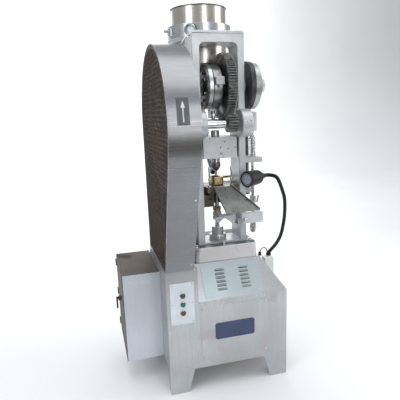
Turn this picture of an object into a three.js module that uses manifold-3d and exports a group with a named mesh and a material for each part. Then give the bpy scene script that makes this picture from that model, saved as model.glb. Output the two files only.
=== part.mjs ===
// A single-punch tablet press on its cabinet: a geared main shaft drives an eccentric and its strap
// rod above the ram, two cams on the shaft's end work the ejector and the feed shoe, and a belt
// guard covers the flywheel and the belts that come up from the motor.
// Millimetres, +Z up. Inside the machine group X runs right from the cabinet's left side, Y runs
// back from the cabinet's front, and Z starts at the floor.
import * as THREE from "three";
import { ConvexGeometry } from "three/addons/geometries/ConvexGeometry.js";
import { mergeVertices } from "three/addons/utils/BufferGeometryUtils.js";
import Module from "manifold-3d";

const wasm = await Module();
wasm.setup();

// ---------- facets round a circle ----------
const FINE = 36;
const ROUND = 20;
const SMALL = 12;
const SCREW = 6;

// ---------- driving dimensions ----------
const GAP = 0.3; // between pieces that rest on each other
const RUN = 0.4; // radial room of a shaft in its bearing

const CABINET_WIDTH = 600;
const CABINET_DEPTH = 480;
const CABINET_BOTTOM = 117;
const SHOULDER = 458; // where the console's upright walls end and its hips begin
const CONSOLE_TOP = 610;
const HIP = 100; // how far each hip runs in over its height
const COLUMN_WIDTH = 150;
const COLUMN_TOP = 621;
const SHEET = 3;

const SHAFT_Y = 200; // main shaft, along X
const SHAFT_Z = 1441;
const SHAFT_R = 25;
const MODULE = 4;
const GEAR_TEETH = 75;
const PINION_TEETH = 19;
const CENTRES = (MODULE * (GEAR_TEETH + PINION_TEETH)) / 2;
const PINION_Y = 120;
const PINION_Z = SHAFT_Z - Math.sqrt(CENTRES ** 2 - (SHAFT_Y - PINION_Y) ** 2);
const PINION_SHAFT_R = 22;
const PINION_END_R = 17;

const RAM_X = 312; // the punches, the ram and the strap rod share this line
const THROW = 22; // of the eccentric, half the ram's stroke
const STRAP_R = 103;
const ECCENTRIC_R = 82;
const CAM_R = 109;
const CAM_LIFT = 9;
const LOBE_HALF_WIDTH = 0.6; // radians

const GUARD_WIDTH = 132;
const GUARD_R = 349;
const GUARD_SHEET = 2.5;
const GUARD_FRONT = -5; // where the guard's front and back stand on the column's top
const GUARD_BACK = 455;
const FLYWHEEL_R = 292;
const PULLEY_R = 50;
const MOTOR_Y = 270;
const MOTOR_Z = 360;
const BELT_THICK = 11;

const FRAME_LEFT = 197;
const FRAME_RIGHT = 448;
const FRAME_FRONT = 145;
const FRAME_BACK = 275;
const FRAME_BOTTOM = 684;
const FRAME_TOP = 1667;
const WINDOW_LEFT = 233;
const WINDOW_RIGHT = 414;
const WINDOW_BOTTOM = 693;
const WINDOW_TOP = 1634;

const DISC_LEFT = 252; // places along the main shaft, from left to right
const DISC_RIGHT = 284;
const ECCENTRIC_RIGHT = 337;
const GEAR_LEFT = 341;
const GEAR_RIGHT = 381;
const PINION_LEFT = 346;
const PINION_RIGHT = 396;
const FEEDER_CAM_LEFT = 464;
const LIFT_CAM_LEFT = 485.5;
const LIFT_CAM_RIGHT = 513;
const CONE_RIGHT = 545;
const NUT_RIGHT = 563;

const GUIDE_LOW = 1107; // guide block of the ram
const GUIDE_HIGH = 1208;
const RAM_R = 21;
const RAM_BOTTOM = 1084;
const RAM_TOP = 1239;
const TABLE_TOP = 975;
const DIE_BOTTOM = 945;
const DIE_R = 25;

const ROD_X = 505; // ejector rod, upright beside the frame
const ROD_R = 8;
const LEVER_X = 431; // pivot of the ejector lever, inside the right column
const LEVER_Z = 800;
const LEVER_PIN_R = 8;
const FEEDER_Y = 275; // upright feeder shaft, behind the ejector rod
const FEEDER_R = 9;
const BRACKET_LOW = 1074; // bracket that guides the rod and the feeder shaft
const BRACKET_HIGH = 1099;
const BEARING_LOW = 908; // the feeder shaft's lower bearing
const BEARING_HIGH = 930;
const SPRING_TOP = 1186;

const HOPPER_Y = 440;
const HOPPER_R = 140;
const HOPPER_TOP = 1834;
const CONE_TOP = 1560;
const OUTLET_Z = 1440;
const COLLAR_LOW = 1680;
const COLLAR_HIGH = 1745;
const COLLAR_R = 163;
const BUTTON_X = 73;
const BUTTON_HEIGHTS = { upper: 504, middle: 462, lower: 419 };
const BUTTON_R = 11;
const BOX_LEFT = -182; // motor box
const BOX_FRONT = 166;
const BOX_BACK = 519;
const BOX_TOP = 568;
const DOOR_PIVOT_X = -186.5;
const DOOR_PIVOT_Y = 523;
const LATCH_Y = 340;
const LATCH_Z = 385;
const NECK_X = 578; // the lamp's swivel
const NECK_Y = 170;
const NECK_Z = 582;
const FOOTPRINT_MIDDLE_X = 232.5; // the origin, below the middle of the overall box
const FOOTPRINT_MIDDLE_Y = 187.2;

// ---------- materials ----------
const metal = (color, roughness, metalness) =>
  new THREE.MeshStandardMaterial({ color, roughness, metalness });
const stainless = () => metal(0xb9bec3, 0.35, 0.9);
const silverPaint = () => metal(0xc9ccd0, 0.55, 0.35);
const whitePaint = () => metal(0xd9dbdd, 0.6, 0.1);
const darkSteel = () => metal(0x4c4c4c, 0.5, 0.8);
const brightSteel = () => metal(0xc4c4c0, 0.25, 1);
const castGrey = () => metal(0x6f7274, 0.5, 0.7);
const blackPlastic = () => metal(0x25282c, 0.6, 0);

// ---------- solids ----------
const upright = new THREE.Matrix4().makeRotationX(Math.PI / 2);
const lengthwise = new THREE.Matrix4().makeRotationZ(-Math.PI / 2);

// A box between two corners.
function box(x0, x1, y0, y1, z0, z1) {
  const geometry = new THREE.BoxGeometry(x1 - x0, y1 - y0, z1 - z0);
  return geometry.translate((x0 + x1) / 2, (y0 + y1) / 2, (z0 + z1) / 2);
}

// A round bar or cone along an axis. a and b place its centre line on the other two axes.
function round(axis, from, to, startR, endR, a = 0, b = 0, sides = ROUND) {
  const geometry = new THREE.CylinderGeometry(endR, startR, to - from, sides);
  const middle = (from + to) / 2;
  if (axis === "x") return geometry.applyMatrix4(lengthwise).translate(middle, a, b);
  if (axis === "z") return geometry.applyMatrix4(upright).translate(a, b, middle);
  return geometry.translate(a, middle, b);
}

function bar(axis, from, to, radius, a = 0, b = 0, sides = ROUND) {
  return round(axis, from, to, radius, radius, a, b, sides);
}

// A turned piece about an axis. The profile is [radius, height] points, anticlockwise as seen
// with the radius to the right, and it starts and ends on the axis or closes on itself.
function turned(axis, profile, sides = ROUND) {
  const points = profile.map(([radius, height]) => new THREE.Vector2(radius, height));
  const geometry = new THREE.LatheGeometry(points, sides);
  return geometry.applyMatrix4(axis === "x" ? lengthwise : upright);
}

// A closed ring profile of rectangular section.
const ring = (inner, outer, low, high) => [
  [inner, low],
  [outer, low],
  [outer, high],
  [inner, high],
  [inner, low],
];

// An outline pushed along an axis. The outline is in (Y, Z) for x, (X, Z) for y, (X, Y) for z.
function prism(axis, outline, from, to) {
  const shape = outline instanceof THREE.Shape ? outline : new THREE.Shape(outline);
  const geometry = new THREE.ExtrudeGeometry(shape, {
    depth: to - from,
    bevelEnabled: false,
    curveSegments: 4,
  });
  const turn = new THREE.Matrix4();
  const x = new THREE.Vector3(1, 0, 0);
  const y = new THREE.Vector3(0, 1, 0);
  const z = new THREE.Vector3(0, 0, 1);
  if (axis === "x") turn.makeBasis(y, z, x).setPosition(from, 0, 0);
  if (axis === "y") turn.makeBasis(x, z, y.clone().negate()).setPosition(0, to, 0);
  if (axis === "z") turn.setPosition(0, 0, from);
  return geometry.applyMatrix4(turn);
}

const outlineOf = (...pairs) => pairs.map(([a, b]) => new THREE.Vector2(a, b));

function roundedRectangle(left, right, low, high, corner) {
  const shape = new THREE.Shape();
  shape.moveTo(left + corner, low);
  shape.lineTo(right - corner, low);
  shape.absarc(right - corner, low + corner, corner, -Math.PI / 2, 0);
  shape.lineTo(right, high - corner);
  shape.absarc(right - corner, high - corner, corner, 0, Math.PI / 2);
  shape.lineTo(left + corner, high);
  shape.absarc(left + corner, high - corner, corner, Math.PI / 2, Math.PI);
  shape.lineTo(left, low + corner);
  shape.absarc(left + corner, low + corner, corner, Math.PI, Math.PI * 1.5);
  return shape;
}

// The convex solid around a list of points.
const hull = (...points) => new ConvexGeometry(points.map((p) => new THREE.Vector3(...p)));

// A hexagonal nut along Z.
const nut = (radius, low, high, x, y) => bar("z", low, high, radius, x, y, 6);

function solid(geometry) {
  const bare = new THREE.BufferGeometry();
  const source = geometry.index ? geometry.toNonIndexed() : geometry;
  bare.setAttribute("position", source.getAttribute("position"));
  const merged = mergeVertices(bare, 1e-4);
  return new wasm.Manifold(
    new wasm.Mesh({
      numProp: 3,
      vertProperties: merged.attributes.position.array,
      triVerts: new Uint32Array(merged.index.array),
    }),
  );
}

function geometryOf(manifold) {
  const mesh = manifold.getMesh();
  const geometry = new THREE.BufferGeometry();
  geometry.setAttribute("position", new THREE.BufferAttribute(mesh.vertProperties, 3));
  geometry.setIndex(new THREE.BufferAttribute(mesh.triVerts, 1));
  return geometry;
}

const join = (...pieces) => geometryOf(pieces.map(solid).reduce((whole, next) => whole.add(next)));
const cut = (piece, ...tools) =>
  geometryOf(tools.map(solid).reduce((whole, tool) => whole.subtract(tool), solid(piece)));

// ---------- assembly ----------
const press = new THREE.Group();
const machine = new THREE.Group();
press.add(machine);

function group(x, y, z, parent = machine) {
  const made = new THREE.Group();
  made.position.set(x, y, z);
  parent.add(made);
  return made;
}

function add(name, geometry, material, parent = machine) {
  const mesh = new THREE.Mesh(geometry, material);
  mesh.name = name;
  parent.add(mesh);
  return mesh;
}

// ---------- cabinet ----------
function hippedBlock(margin, low, high) {
  const right = CABINET_WIDTH - margin;
  const back = CABINET_DEPTH - margin;
  const left = COLUMN_WIDTH - 40;
  return hull(
    [left, margin, low],
    [right, margin, low],
    [right, back, low],
    [left, back, low],
    [left, margin + HIP, high],
    [right - HIP, margin + HIP, high],
    [right - HIP, back - HIP, high],
    [left, back - HIP, high],
  );
}

// One leg: a tapered front plate, a narrow side flange and a foot pad inside the corner.
function leg(right, back) {
  const top = CABINET_BOTTOM + 1;
  const tapered = (foot, head) => outlineOf([0, 0], [foot, 0], [head, top], [0, top]);
  const plate = prism("y", tapered(88, 121), 0, SHEET);
  const side = prism("x", tapered(45, 60), 0, SHEET);
  const whole = join(plate, side, box(1, 60, 1, 44, 0, 4));
  let body = solid(whole);
  if (right) body = body.scale([-1, 1, 1]).translate([CABINET_WIDTH, 0, 0]);
  if (back) body = body.scale([1, -1, 1]).translate([0, CABINET_DEPTH, 0]);
  return geometryOf(body);
}

function cabinetShell() {
  const outer = join(
    box(0, COLUMN_WIDTH, 0, CABINET_DEPTH, CABINET_BOTTOM, COLUMN_TOP),
    box(COLUMN_WIDTH - 10, CABINET_WIDTH, 0, CABINET_DEPTH, CABINET_BOTTOM, SHOULDER),
    hippedBlock(0, SHOULDER, CONSOLE_TOP),
  );
  const inside = join(
    box(SHEET, COLUMN_WIDTH - SHEET, SHEET, CABINET_DEPTH - SHEET, 100, COLUMN_TOP - SHEET),
    box(SHEET, CABINET_WIDTH - SHEET, SHEET, CABINET_DEPTH - SHEET, 100, SHOULDER),
    hippedBlock(SHEET, SHOULDER - 2, CONSOLE_TOP - SHEET),
  );
  const hollow = cut(
    outer,
    inside,
    box(172, 482, -5, 8, 166, 413), // behind the front panel
    box(205, 457, 22, 80, 440, 606), // under the louvred cover
    box(20, 112, 60, 400, 600, 640), // belts
    box(45, 100, -5, 8, 385, 540), // behind the buttons
    bar("x", -5, 10, 40, MOTOR_Y, MOTOR_Z), // motor shaft
  );
  return join(hollow, leg(false, false), leg(true, false), leg(false, true), leg(true, true));
}

add("cabinet_shell", cabinetShell(), stainless());

// The louvred cover lies on the front hip, in the hip's own plane: local X across, local Y up
// the slope, local Z out of it.
function consoleCover() {
  const width = 290;
  const length = 172;
  const plate = box(-width / 2, width / 2, 0, length, 0, 2);
  const slots = [];
  const hoods = [];
  for (const x of [-78, 44]) {
    for (let row = 0; row < 6; row += 1) {
      const y = 32 + row * 19;
      slots.push(box(x, x + 46, y, y + 6, -1, 4));
      const hood = prism("x", outlineOf([y + 5, 1], [y + 14, 1], [y + 5, 7], [y + 4, 7]), x, x + 46);
      hoods.push(hood);
    }
  }
  const screws = [];
  for (const x of [-width / 2 + 10, width / 2 - 10]) {
    for (const y of [12, length - 10]) screws.push(bar("z", 1, 4, 4.5, x, y, SCREW));
  }
  return cut(join(plate, ...hoods, ...screws), ...slots);
}

const slope = Math.atan2(CONSOLE_TOP - SHOULDER, HIP);
const cover = add("console_cover", consoleCover(), stainless());
cover.position.set(331, 3 - GAP * Math.sin(slope), SHOULDER + 5 + GAP);
cover.rotation.x = slope;

function screwedPlate(left, right, low, high, front, corner, screws, screwR) {
  const plate = prism("y", roundedRectangle(left, right, low, high, corner), front, -GAP);
  const heads = screws.map(([x, z]) => bar("y", front - 2, front + 1, screwR, x, z, SCREW));
  return join(plate, ...heads);
}

const panelScrews = [];
for (const x of [169, 485]) for (const z of [163, 416]) panelScrews.push([x, z]);
add("front_panel", screwedPlate(157, 497, 151, 428, -2.3, 3, panelScrews, 5), stainless());

const plateFront = prism("y", roundedRectangle(227, 427, 254, 338, 12), -5, -2.3 - GAP);
add("blank_nameplate", plateFront, metal(0x33415a, 0.4, 0.4));

function buttonPanel() {
  const screws = [];
  for (const x of [24, 120]) for (const z of [371, 464, 557]) screws.push([x, z]);
  const plate = screwedPlate(15, 129, 362, 566, -4.3, 6, screws, 3.5);
  const heights = Object.values(BUTTON_HEIGHTS);
  const bezels = heights.map((z) => round("y", -12, -3, 12.8, 14.5, BUTTON_X, z, SMALL));
  const holes = heights.map((z) => bar("y", -20, 5, BUTTON_R + RUN, BUTTON_X, z, SMALL));
  return cut(join(plate, ...bezels), ...holes);
}

add("button_panel", buttonPanel(), whitePaint());

const buttonColours = { upper: 0x3d4a48, middle: 0x1e6b58, lower: 0x5a4038 };
for (const [place, z] of Object.entries(BUTTON_HEIGHTS)) {
  const button = group(BUTTON_X, 0, z);
  const plunger = bar("y", -17, 6, BUTTON_R, 0, 0, SMALL);
  add(`${place}_button`, plunger, metal(buttonColours[place], 0.35, 0), button);
}

// ---------- motor box ----------
function motorBox() {
  const outer = box(BOX_LEFT, -GAP, BOX_FRONT, BOX_BACK, CABINET_BOTTOM, BOX_TOP);
  const inside = box(
    BOX_LEFT - 5,
    5,
    BOX_FRONT + SHEET,
    BOX_BACK - SHEET,
    CABINET_BOTTOM + SHEET,
    BOX_TOP - SHEET,
  );
  const grooves = [0, 1, 2].map((row) => {
    const z = 520 + row * 12;
    return box(BOX_LEFT + 18, -22, BOX_FRONT - 1, BOX_FRONT + 1, z, z + 3);
  });
  return cut(outer, inside, ...grooves);
}

add("motor_box", motorBox(), stainless());

function motorStator() {
  const fins = [-140, -110, -80].map((x) => bar("x", x, x + 5, 80, MOTOR_Y, MOTOR_Z, SMALL));
  const body = join(
    bar("x", -150, -45, 73, MOTOR_Y, MOTOR_Z, SMALL),
    round("x", -45, -30, 73, 50, MOTOR_Y, MOTOR_Z, SMALL),
    round("x", -168, -150, 66, 73, MOTOR_Y, MOTOR_Z, SMALL),
    ...fins,
    box(-140, -60, 210, 330, 268, 300),
    box(-128, -72, 240, 300, 420, 462),
    box(-160, -GAP, 195, 345, 262, 270), // shelf and its bracket on the cabinet's side
    box(-8, -GAP, 195, 345, 200, 265),
    prism("y", outlineOf([-150, 264], [-5, 205], [-5, 264]), 266, 274),
  );
  return cut(body, bar("x", -70, -20, 12 + RUN, MOTOR_Y, MOTOR_Z));
}

add("motor_stator", motorStator(), metal(0x3f5560, 0.6, 0.3));

const rotor = group(0, MOTOR_Y, MOTOR_Z);
const pulleyProfile = [
  [0, -68],
  [12, -68],
  [12, 30],
  [PULLEY_R + 4, 30],
  [PULLEY_R + 4, 34],
  [PULLEY_R, 34],
  [PULLEY_R, 92],
  [PULLEY_R + 4, 92],
  [PULLEY_R + 4, 96],
  [14, 96],
  [14, 104],
  [0, 104],
];
add("motor_pulley", turned("x", pulleyProfile, ROUND), castGrey(), rotor);

// The door on the box's left side is hinged at the back, on the knuckles of its own edge.
const door = group(DOOR_PIVOT_X, DOOR_PIVOT_Y, 0);
function boxDoor() {
  const outside = BOX_LEFT - GAP - DOOR_PIVOT_X;
  const plate = box(outside - 2.5, outside, BOX_FRONT - DOOR_PIVOT_Y, -4, CABINET_BOTTOM, BOX_TOP);
  const knuckles = [150, 330, 500].map((z) => bar("z", z, z + 40, 4, 0, 0, SMALL));
  const webs = [150, 330, 500].map((z) => box(0, outside - 0.5, -8, 0, z, z + 40));
  const hole = bar("x", -20, 20, 7 + RUN, LATCH_Y - DOOR_PIVOT_Y, LATCH_Z, SMALL);
  return cut(join(plate, ...knuckles, ...webs), hole);
}
add("motor_box_door", boxDoor(), stainless(), door);

const latch = group(0, LATCH_Y - DOOR_PIVOT_Y, LATCH_Z, door);
const latchParts = join(
  bar("x", -16, 9, 7, 0, 0, SMALL),
  bar("x", -12, 1.2, 13, 0, 0, SMALL),
  prism("x", roundedRectangle(-7, 7, -56, 9, 6), -24, -15),
  box(6, 9, -8, 8, -6, 30),
);
add("door_latch", latchParts, brightSteel(), latch);

// ---------- belt guard ----------
// The guard's outline in (Y, Z): an arc about the pinion shaft, closed by the two straight sides
// that run down to the column's top. inset moves it inwards.
function guardOutline(inset) {
  const radius = GUARD_R - inset;
  const low = COLUMN_TOP + GAP - PINION_Z;
  const tangentAt = (y, side) => {
    const towards = Math.atan2(low, y);
    return towards + side * Math.acos(radius / Math.hypot(y, low));
  };
  const front = GUARD_FRONT - PINION_Y + inset;
  const back = GUARD_BACK - PINION_Y - inset;
  const start = tangentAt(back, 1);
  const end = tangentAt(front, -1) + 2 * Math.PI;
  const at = (y, z) => new THREE.Vector2(PINION_Y + y, PINION_Z + z);
  const points = [at(front, low), at(back, low)];
  const steps = 22;
  for (let i = 0; i <= steps; i += 1) {
    const angle = start + ((end - start) * i) / steps;
    points.push(at(radius * Math.cos(angle), radius * Math.sin(angle)));
  }
  return points;
}

function guardBand() {
  const band = cut(
    prism("x", guardOutline(0), 0, GUARD_WIDTH),
    prism("x", guardOutline(GUARD_SHEET), -5, GUARD_WIDTH + 5),
    box(-5, GUARD_WIDTH + 5, GUARD_FRONT + 4, GUARD_BACK - 4, COLUMN_TOP - 5, COLUMN_TOP + 3),
  );
  const low = COLUMN_TOP + GAP;
  const outline = guardOutline(0);
  const [foot, tangent] = [outline[0], outline[outline.length - 1]];
  const screws = [975, 655].map((z) => {
    const y = foot.x + ((tangent.x - foot.x) * (z - foot.y)) / (tangent.y - foot.y);
    return bar("y", y - 3, y + 2, 4.5, 118, z, SCREW);
  });
  return join(
    band,
    box(6, GUARD_WIDTH - 8, GUARD_FRONT + 0.5, GUARD_FRONT + 14, low, low + 2.5),
    box(6, GUARD_WIDTH - 8, GUARD_BACK - 14, GUARD_BACK - 0.5, low, low + 2.5),
    ...screws,
  );
}
add("guard_band", guardBand(), stainless());

// The left side is a flat grille of diamond openings inside a plain border.
function guardGrille() {
  const plate = prism("x", guardOutline(GUARD_SHEET + 1.5), 1, 3.5);
  const window = prism("x", guardOutline(GUARD_SHEET + 34), 0, 5);
  const holes = [];
  const [across, upwards] = [150, 144]; // half spacing upwards, because the rows are staggered
  for (let row = 0; row < 7; row += 1) {
    for (let column = 0; column < 5; column += 1) {
      const y = -150 + column * across + ((row % 2) * across) / 2;
      const z = 700 + row * upwards;
      const [halfY, halfZ] = [across * 0.43, upwards * 0.84];
      const diamond = outlineOf([y - halfY, z], [y, z - halfZ], [y + halfY, z], [y, z + halfZ]);
      holes.push(prism("x", diamond, 0, 5));
    }
  }
  const openings = holes.map(solid).reduce((all, hole) => all.add(hole));
  return geometryOf(solid(plate).subtract(openings.intersect(solid(window))));
}
add("guard_grille", guardGrille(), metal(0x3c3c3b, 0.6, 0.6));

const backPlate = cut(
  prism("x", guardOutline(GUARD_SHEET + 1.5), 127, 130),
  bar("x", 120, 135, 60, PINION_Y, PINION_Z),
  bar("x", 120, 135, 48, SHAFT_Y, SHAFT_Z),
);
add("guard_back_plate", backPlate, stainless());

// ---------- belts ----------
function beltOutline(extra) {
  const big = FLYWHEEL_R + extra;
  const small = PULLEY_R + extra;
  const [dy, dz] = [MOTOR_Y - PINION_Y, MOTOR_Z - PINION_Z];
  const towards = Math.atan2(dz, dy);
  const spread = Math.acos((big - small) / Math.hypot(dy, dz));
  const points = [];
  const arc = (y, z, radius, from, to, steps) => {
    for (let i = 0; i <= steps; i += 1) {
      const angle = from + ((to - from) * i) / steps;
      points.push(new THREE.Vector2(y + radius * Math.cos(angle), z + radius * Math.sin(angle)));
    }
  };
  arc(PINION_Y, PINION_Z, big, towards + spread, towards + 2 * Math.PI - spread, 24);
  arc(MOTOR_Y, MOTOR_Z, small, towards - spread, towards + spread, 10);
  return points;
}

["left", "right"].forEach((place, index) => {
  const x = 39 + index * 30;
  const belt = cut(
    prism("x", beltOutline(1.5 + BELT_THICK), x, x + 18),
    prism("x", beltOutline(1.5), x - 5, x + 23),
  );
  add(`${place}_drive_belt`, belt, metal(0x4a2e25, 0.85, 0));
});

// ---------- plinth and frame ----------
const plinthOutline = roundedRectangle(168, 488, HIP, CABINET_DEPTH - HIP, 24);
add("plinth", prism("z", plinthOutline, CONSOLE_TOP + GAP, FRAME_BOTTOM), silverPaint());

function frameOutline(left, right, low, high, foot, head) {
  const shape = new THREE.Shape();
  shape.moveTo(left + foot, low);
  shape.lineTo(right - foot, low);
  shape.absarc(right - foot, low + foot, foot, -Math.PI / 2, 0);
  shape.lineTo(right, high - head);
  shape.absarc(right - head, high - head, head, 0, Math.PI / 2);
  shape.lineTo(left + head, high);
  shape.absarc(left + head, high - head, head, Math.PI / 2, Math.PI);
  shape.lineTo(left, low + foot);
  shape.absarc(left + foot, low + foot, foot, Math.PI, Math.PI * 1.5);
  return shape;
}

function pressFrame() {
  const outside = frameOutline(FRAME_LEFT, FRAME_RIGHT, FRAME_BOTTOM + GAP, FRAME_TOP, 2, 16);
  const window = frameOutline(WINDOW_LEFT, WINDOW_RIGHT, WINDOW_BOTTOM, WINDOW_TOP, 4, 24);
  const arch = cut(
    prism("y", outside, FRAME_FRONT, FRAME_BACK),
    prism("y", window, FRAME_FRONT - 40, FRAME_BACK + 40),
  );
  const bosses = join(
    bar("x", FRAME_RIGHT - 43, FRAME_RIGHT + 10, 65, PINION_Y, PINION_Z, ROUND),
    bar("x", FRAME_RIGHT - 5, FRAME_RIGHT + 8, 46, SHAFT_Y, SHAFT_Z),
  );
  const leftBosses = join(
    bar("x", FRAME_LEFT - 57, WINDOW_LEFT + 6, 65, PINION_Y, PINION_Z, ROUND),
    bar("x", FRAME_LEFT - 15, FRAME_LEFT + 5, 46, SHAFT_Y, SHAFT_Z),
  );
  return cut(
    join(arch, bosses, leftBosses),
    bar("x", 100, 600, SHAFT_R + RUN, SHAFT_Y, SHAFT_Z, ROUND),
    bar("x", 100, 300, PINION_SHAFT_R + RUN, PINION_Y, PINION_Z, ROUND),
    bar("x", 300, 500, PINION_END_R + RUN, PINION_Y, PINION_Z, ROUND),
    box(FRAME_RIGHT - 40, FRAME_RIGHT + 5, 178, 222, 762, 838), // the ejector lever passes here
    bar("y", 100, 245, LEVER_PIN_R + GAP, LEVER_X, LEVER_Z, SMALL), // its pin
  );
}
add("press_frame", pressFrame(), silverPaint());

const guideBlock = cut(
  join(
    box(237, 404, 146, 275, GUIDE_LOW, GUIDE_HIGH),
    box(WINDOW_LEFT + GAP, WINDOW_RIGHT - GAP, 245, 274, GUIDE_LOW, GUIDE_HIGH),
  ),
  bar("z", GUIDE_LOW - 5, GUIDE_HIGH + 5, RAM_R + RUN, RAM_X, SHAFT_Y, ROUND),
  bar("y", 140, 158, 3.5, 321, 1157, SCREW),
);
add("guide_block", guideBlock, whitePaint());

// ---------- die table ----------
function dieTable() {
  const left = WINDOW_LEFT + GAP;
  const right = WINDOW_RIGHT - GAP;
  const studs = [255, 364].map((x) =>
    join(
      bar("z", TABLE_TOP - 2, 1068, 4, x, 120, SMALL),
      nut(8, TABLE_TOP - 1, TABLE_TOP + 7, x, 120),
      nut(7.5, 1008, 1016, x, 120),
      round("z", 1058, 1072, 5.5, 4, x, 120, SMALL),
    ),
  );
  const slab = join(
    box(left, right, 150, 274, 873, TABLE_TOP),
    box(243, 377, 106, 160, 950, TABLE_TOP),
  );
  const hollowed = cut(
    slab,
    box(284, 340, 140, 230, 860, 940),
    box(233, 264, 140, 180, 931, 968),
    bar("z", DIE_BOTTOM - GAP, 990, DIE_R + GAP, RAM_X, SHAFT_Y, ROUND),
    bar("z", 930, 950, 15, RAM_X, SHAFT_Y, SMALL),
  );
  return join(hollowed, ...studs);
}
add("die_table", dieTable(), castGrey());

const punchAxis = group(RAM_X, SHAFT_Y, 0);
add("die", turned("z", ring(6.5, DIE_R, DIE_BOTTOM, TABLE_TOP + 1.5), ROUND), brightSteel(), punchAxis);

// The discharge chute flares and falls towards the front, between two low walls.
function chute() {
  const [backZ, frontZ] = [TABLE_TOP + 3, 886];
  const back = [266, 354, 104];
  const front = [278, 440, -52];
  const slab = (bl, br, fl, fr, low, high) =>
    hull(
      [bl, back[2], backZ + low],
      [br, back[2], backZ + low],
      [bl, back[2], backZ + high],
      [br, back[2], backZ + high],
      [fl, front[2], frontZ + low],
      [fr, front[2], frontZ + low],
      [fl, front[2], frontZ + high],
      [fr, front[2], frontZ + high],
    );
  const floor = slab(back[0], back[1], front[0], front[1], -2.5, 0);
  const leftWall = slab(back[0], back[0] + 2.5, front[0], front[0] + 2.5, -2, 10);
  const rightWall = slab(back[1] - 2.5, back[1], front[1] - 2.5, front[1], -2, 10);
  const hook = box(272, 348, 101, 116, TABLE_TOP + GAP, backZ - 0.2);
  return join(floor, leftWall, rightWall, hook);
}
add("discharge_chute", chute(), castGrey());

// ---------- main shaft ----------
function gearOutline(teeth, phase) {
  const pitchR = (MODULE * teeth) / 2;
  const rootR = pitchR - 1.25 * MODULE;
  const tipR = pitchR + MODULE;
  const halfPitch = 0.42 * MODULE * (Math.PI / 2); // half a tooth at the pitch circle, with backlash
  const slopeOut = Math.tan((20 * Math.PI) / 180);
  const half = (radius) => (halfPitch - (radius - pitchR) * slopeOut) / radius;
  const points = [];
  for (let tooth = 0; tooth < teeth; tooth += 1) {
    const middle = phase + (tooth * 2 * Math.PI) / teeth;
    for (const [radius, side] of [[rootR, -1], [tipR, -1], [tipR, 1], [rootR, 1]]) {
      const angle = middle + side * half(radius);
      points.push(new THREE.Vector2(radius * Math.cos(angle), radius * Math.sin(angle)));
    }
  }
  return points;
}

// A plate cam: a round base with one smooth lobe, in (Y, Z).
function camOutline(base, lift, lobeAt, halfWidth) {
  const points = [];
  const steps = 36;
  for (let i = 0; i < steps; i += 1) {
    const angle = (i * 2 * Math.PI) / steps;
    const away = Math.abs(Math.atan2(Math.sin(angle - lobeAt), Math.cos(angle - lobeAt)));
    const rise = away < halfWidth ? (lift * (1 + Math.cos((away * Math.PI) / halfWidth))) / 2 : 0;
    points.push(new THREE.Vector2((base + rise) * Math.cos(angle), (base + rise) * Math.sin(angle)));
  }
  return points;
}

const mainShaft = group(0, SHAFT_Y, SHAFT_Z);
const mesh0 = Math.atan2(PINION_Z - SHAFT_Z, PINION_Y - SHAFT_Y); // line of centres, seen from the gear
const shaftBore = bar("x", 100, 600, SHAFT_R + GAP, 0, 0, ROUND);

add(
  "main_shaft",
  join(bar("x", 168, NUT_RIGHT - 4, SHAFT_R, 0, 0, ROUND), bar("x", 168, 181, 36, 0, 0)),
  brightSteel(),
  mainShaft,
);

function flangeDisc() {
  const disc = cut(
    bar("x", DISC_LEFT, DISC_RIGHT, STRAP_R, 0, 0, FINE),
    bar("x", DISC_LEFT - 12, DISC_LEFT + 10, STRAP_R - 12, 0, 0, ROUND),
    bar("y", -STRAP_R - 5, -STRAP_R + 12, 3, 272, 0, SCREW),
  );
  const boltCircle = 62;
  const bolts = [0, 1, 2, 3, 4, 5].map((i) => {
    const angle = ((i + 0.5) * Math.PI) / 3;
    const [y, z] = [boltCircle * Math.cos(angle), boltCircle * Math.sin(angle)];
    return bar("x", DISC_LEFT + 6, DISC_LEFT + 18, 7, y, z, SCREW);
  });
  const hub = bar("x", DISC_LEFT - 2, DISC_LEFT + 13, 40);
  return cut(join(disc, hub, ...bolts), shaftBore);
}
add("flange_disc", flangeDisc(), darkSteel(), mainShaft);

const eccentric = cut(
  bar("x", DISC_RIGHT + GAP, ECCENTRIC_RIGHT, ECCENTRIC_R, THROW, 0, FINE),
  shaftBore,
);
add("eccentric", eccentric, darkSteel(), mainShaft);

function bigGear() {
  const blank = prism("x", gearOutline(GEAR_TEETH, mesh0), GEAR_LEFT, GEAR_RIGHT);
  const recess = (from, to) => cut(bar("x", from, to, 132), bar("x", from - 5, to + 5, 48));
  const leftRecess = recess(GEAR_LEFT - 6, GEAR_LEFT + 12);
  const rightRecess = recess(GEAR_RIGHT - 12, GEAR_RIGHT + 9);
  return cut(blank, leftRecess, rightRecess, shaftBore);
}
add("big_gear", bigGear(), darkSteel(), mainShaft);

const feederCamOutline = camOutline(115, 4, (3 * Math.PI) / 4, LOBE_HALF_WIDTH);
const feederCam = cut(prism("x", feederCamOutline, FEEDER_CAM_LEFT, LIFT_CAM_LEFT), shaftBore);
add("feeder_cam", feederCam, darkSteel(), mainShaft);

const liftCamOutline = camOutline(CAM_R, CAM_LIFT, Math.PI / 4, LOBE_HALF_WIDTH);
const liftCam = cut(
  join(
    prism("x", liftCamOutline, LIFT_CAM_LEFT + GAP, LIFT_CAM_RIGHT),
    round("x", LIFT_CAM_RIGHT - 1, CONE_RIGHT, 104, 46, 0, 0, FINE),
  ),
  shaftBore,
);
add("lift_cam", liftCam, castGrey(), mainShaft);
const endNut = cut(bar("x", CONE_RIGHT + GAP, NUT_RIGHT, 34, 0, 0, SCREW), shaftBore);
add("shaft_end_nut", endNut, brightSteel(), mainShaft);

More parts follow.
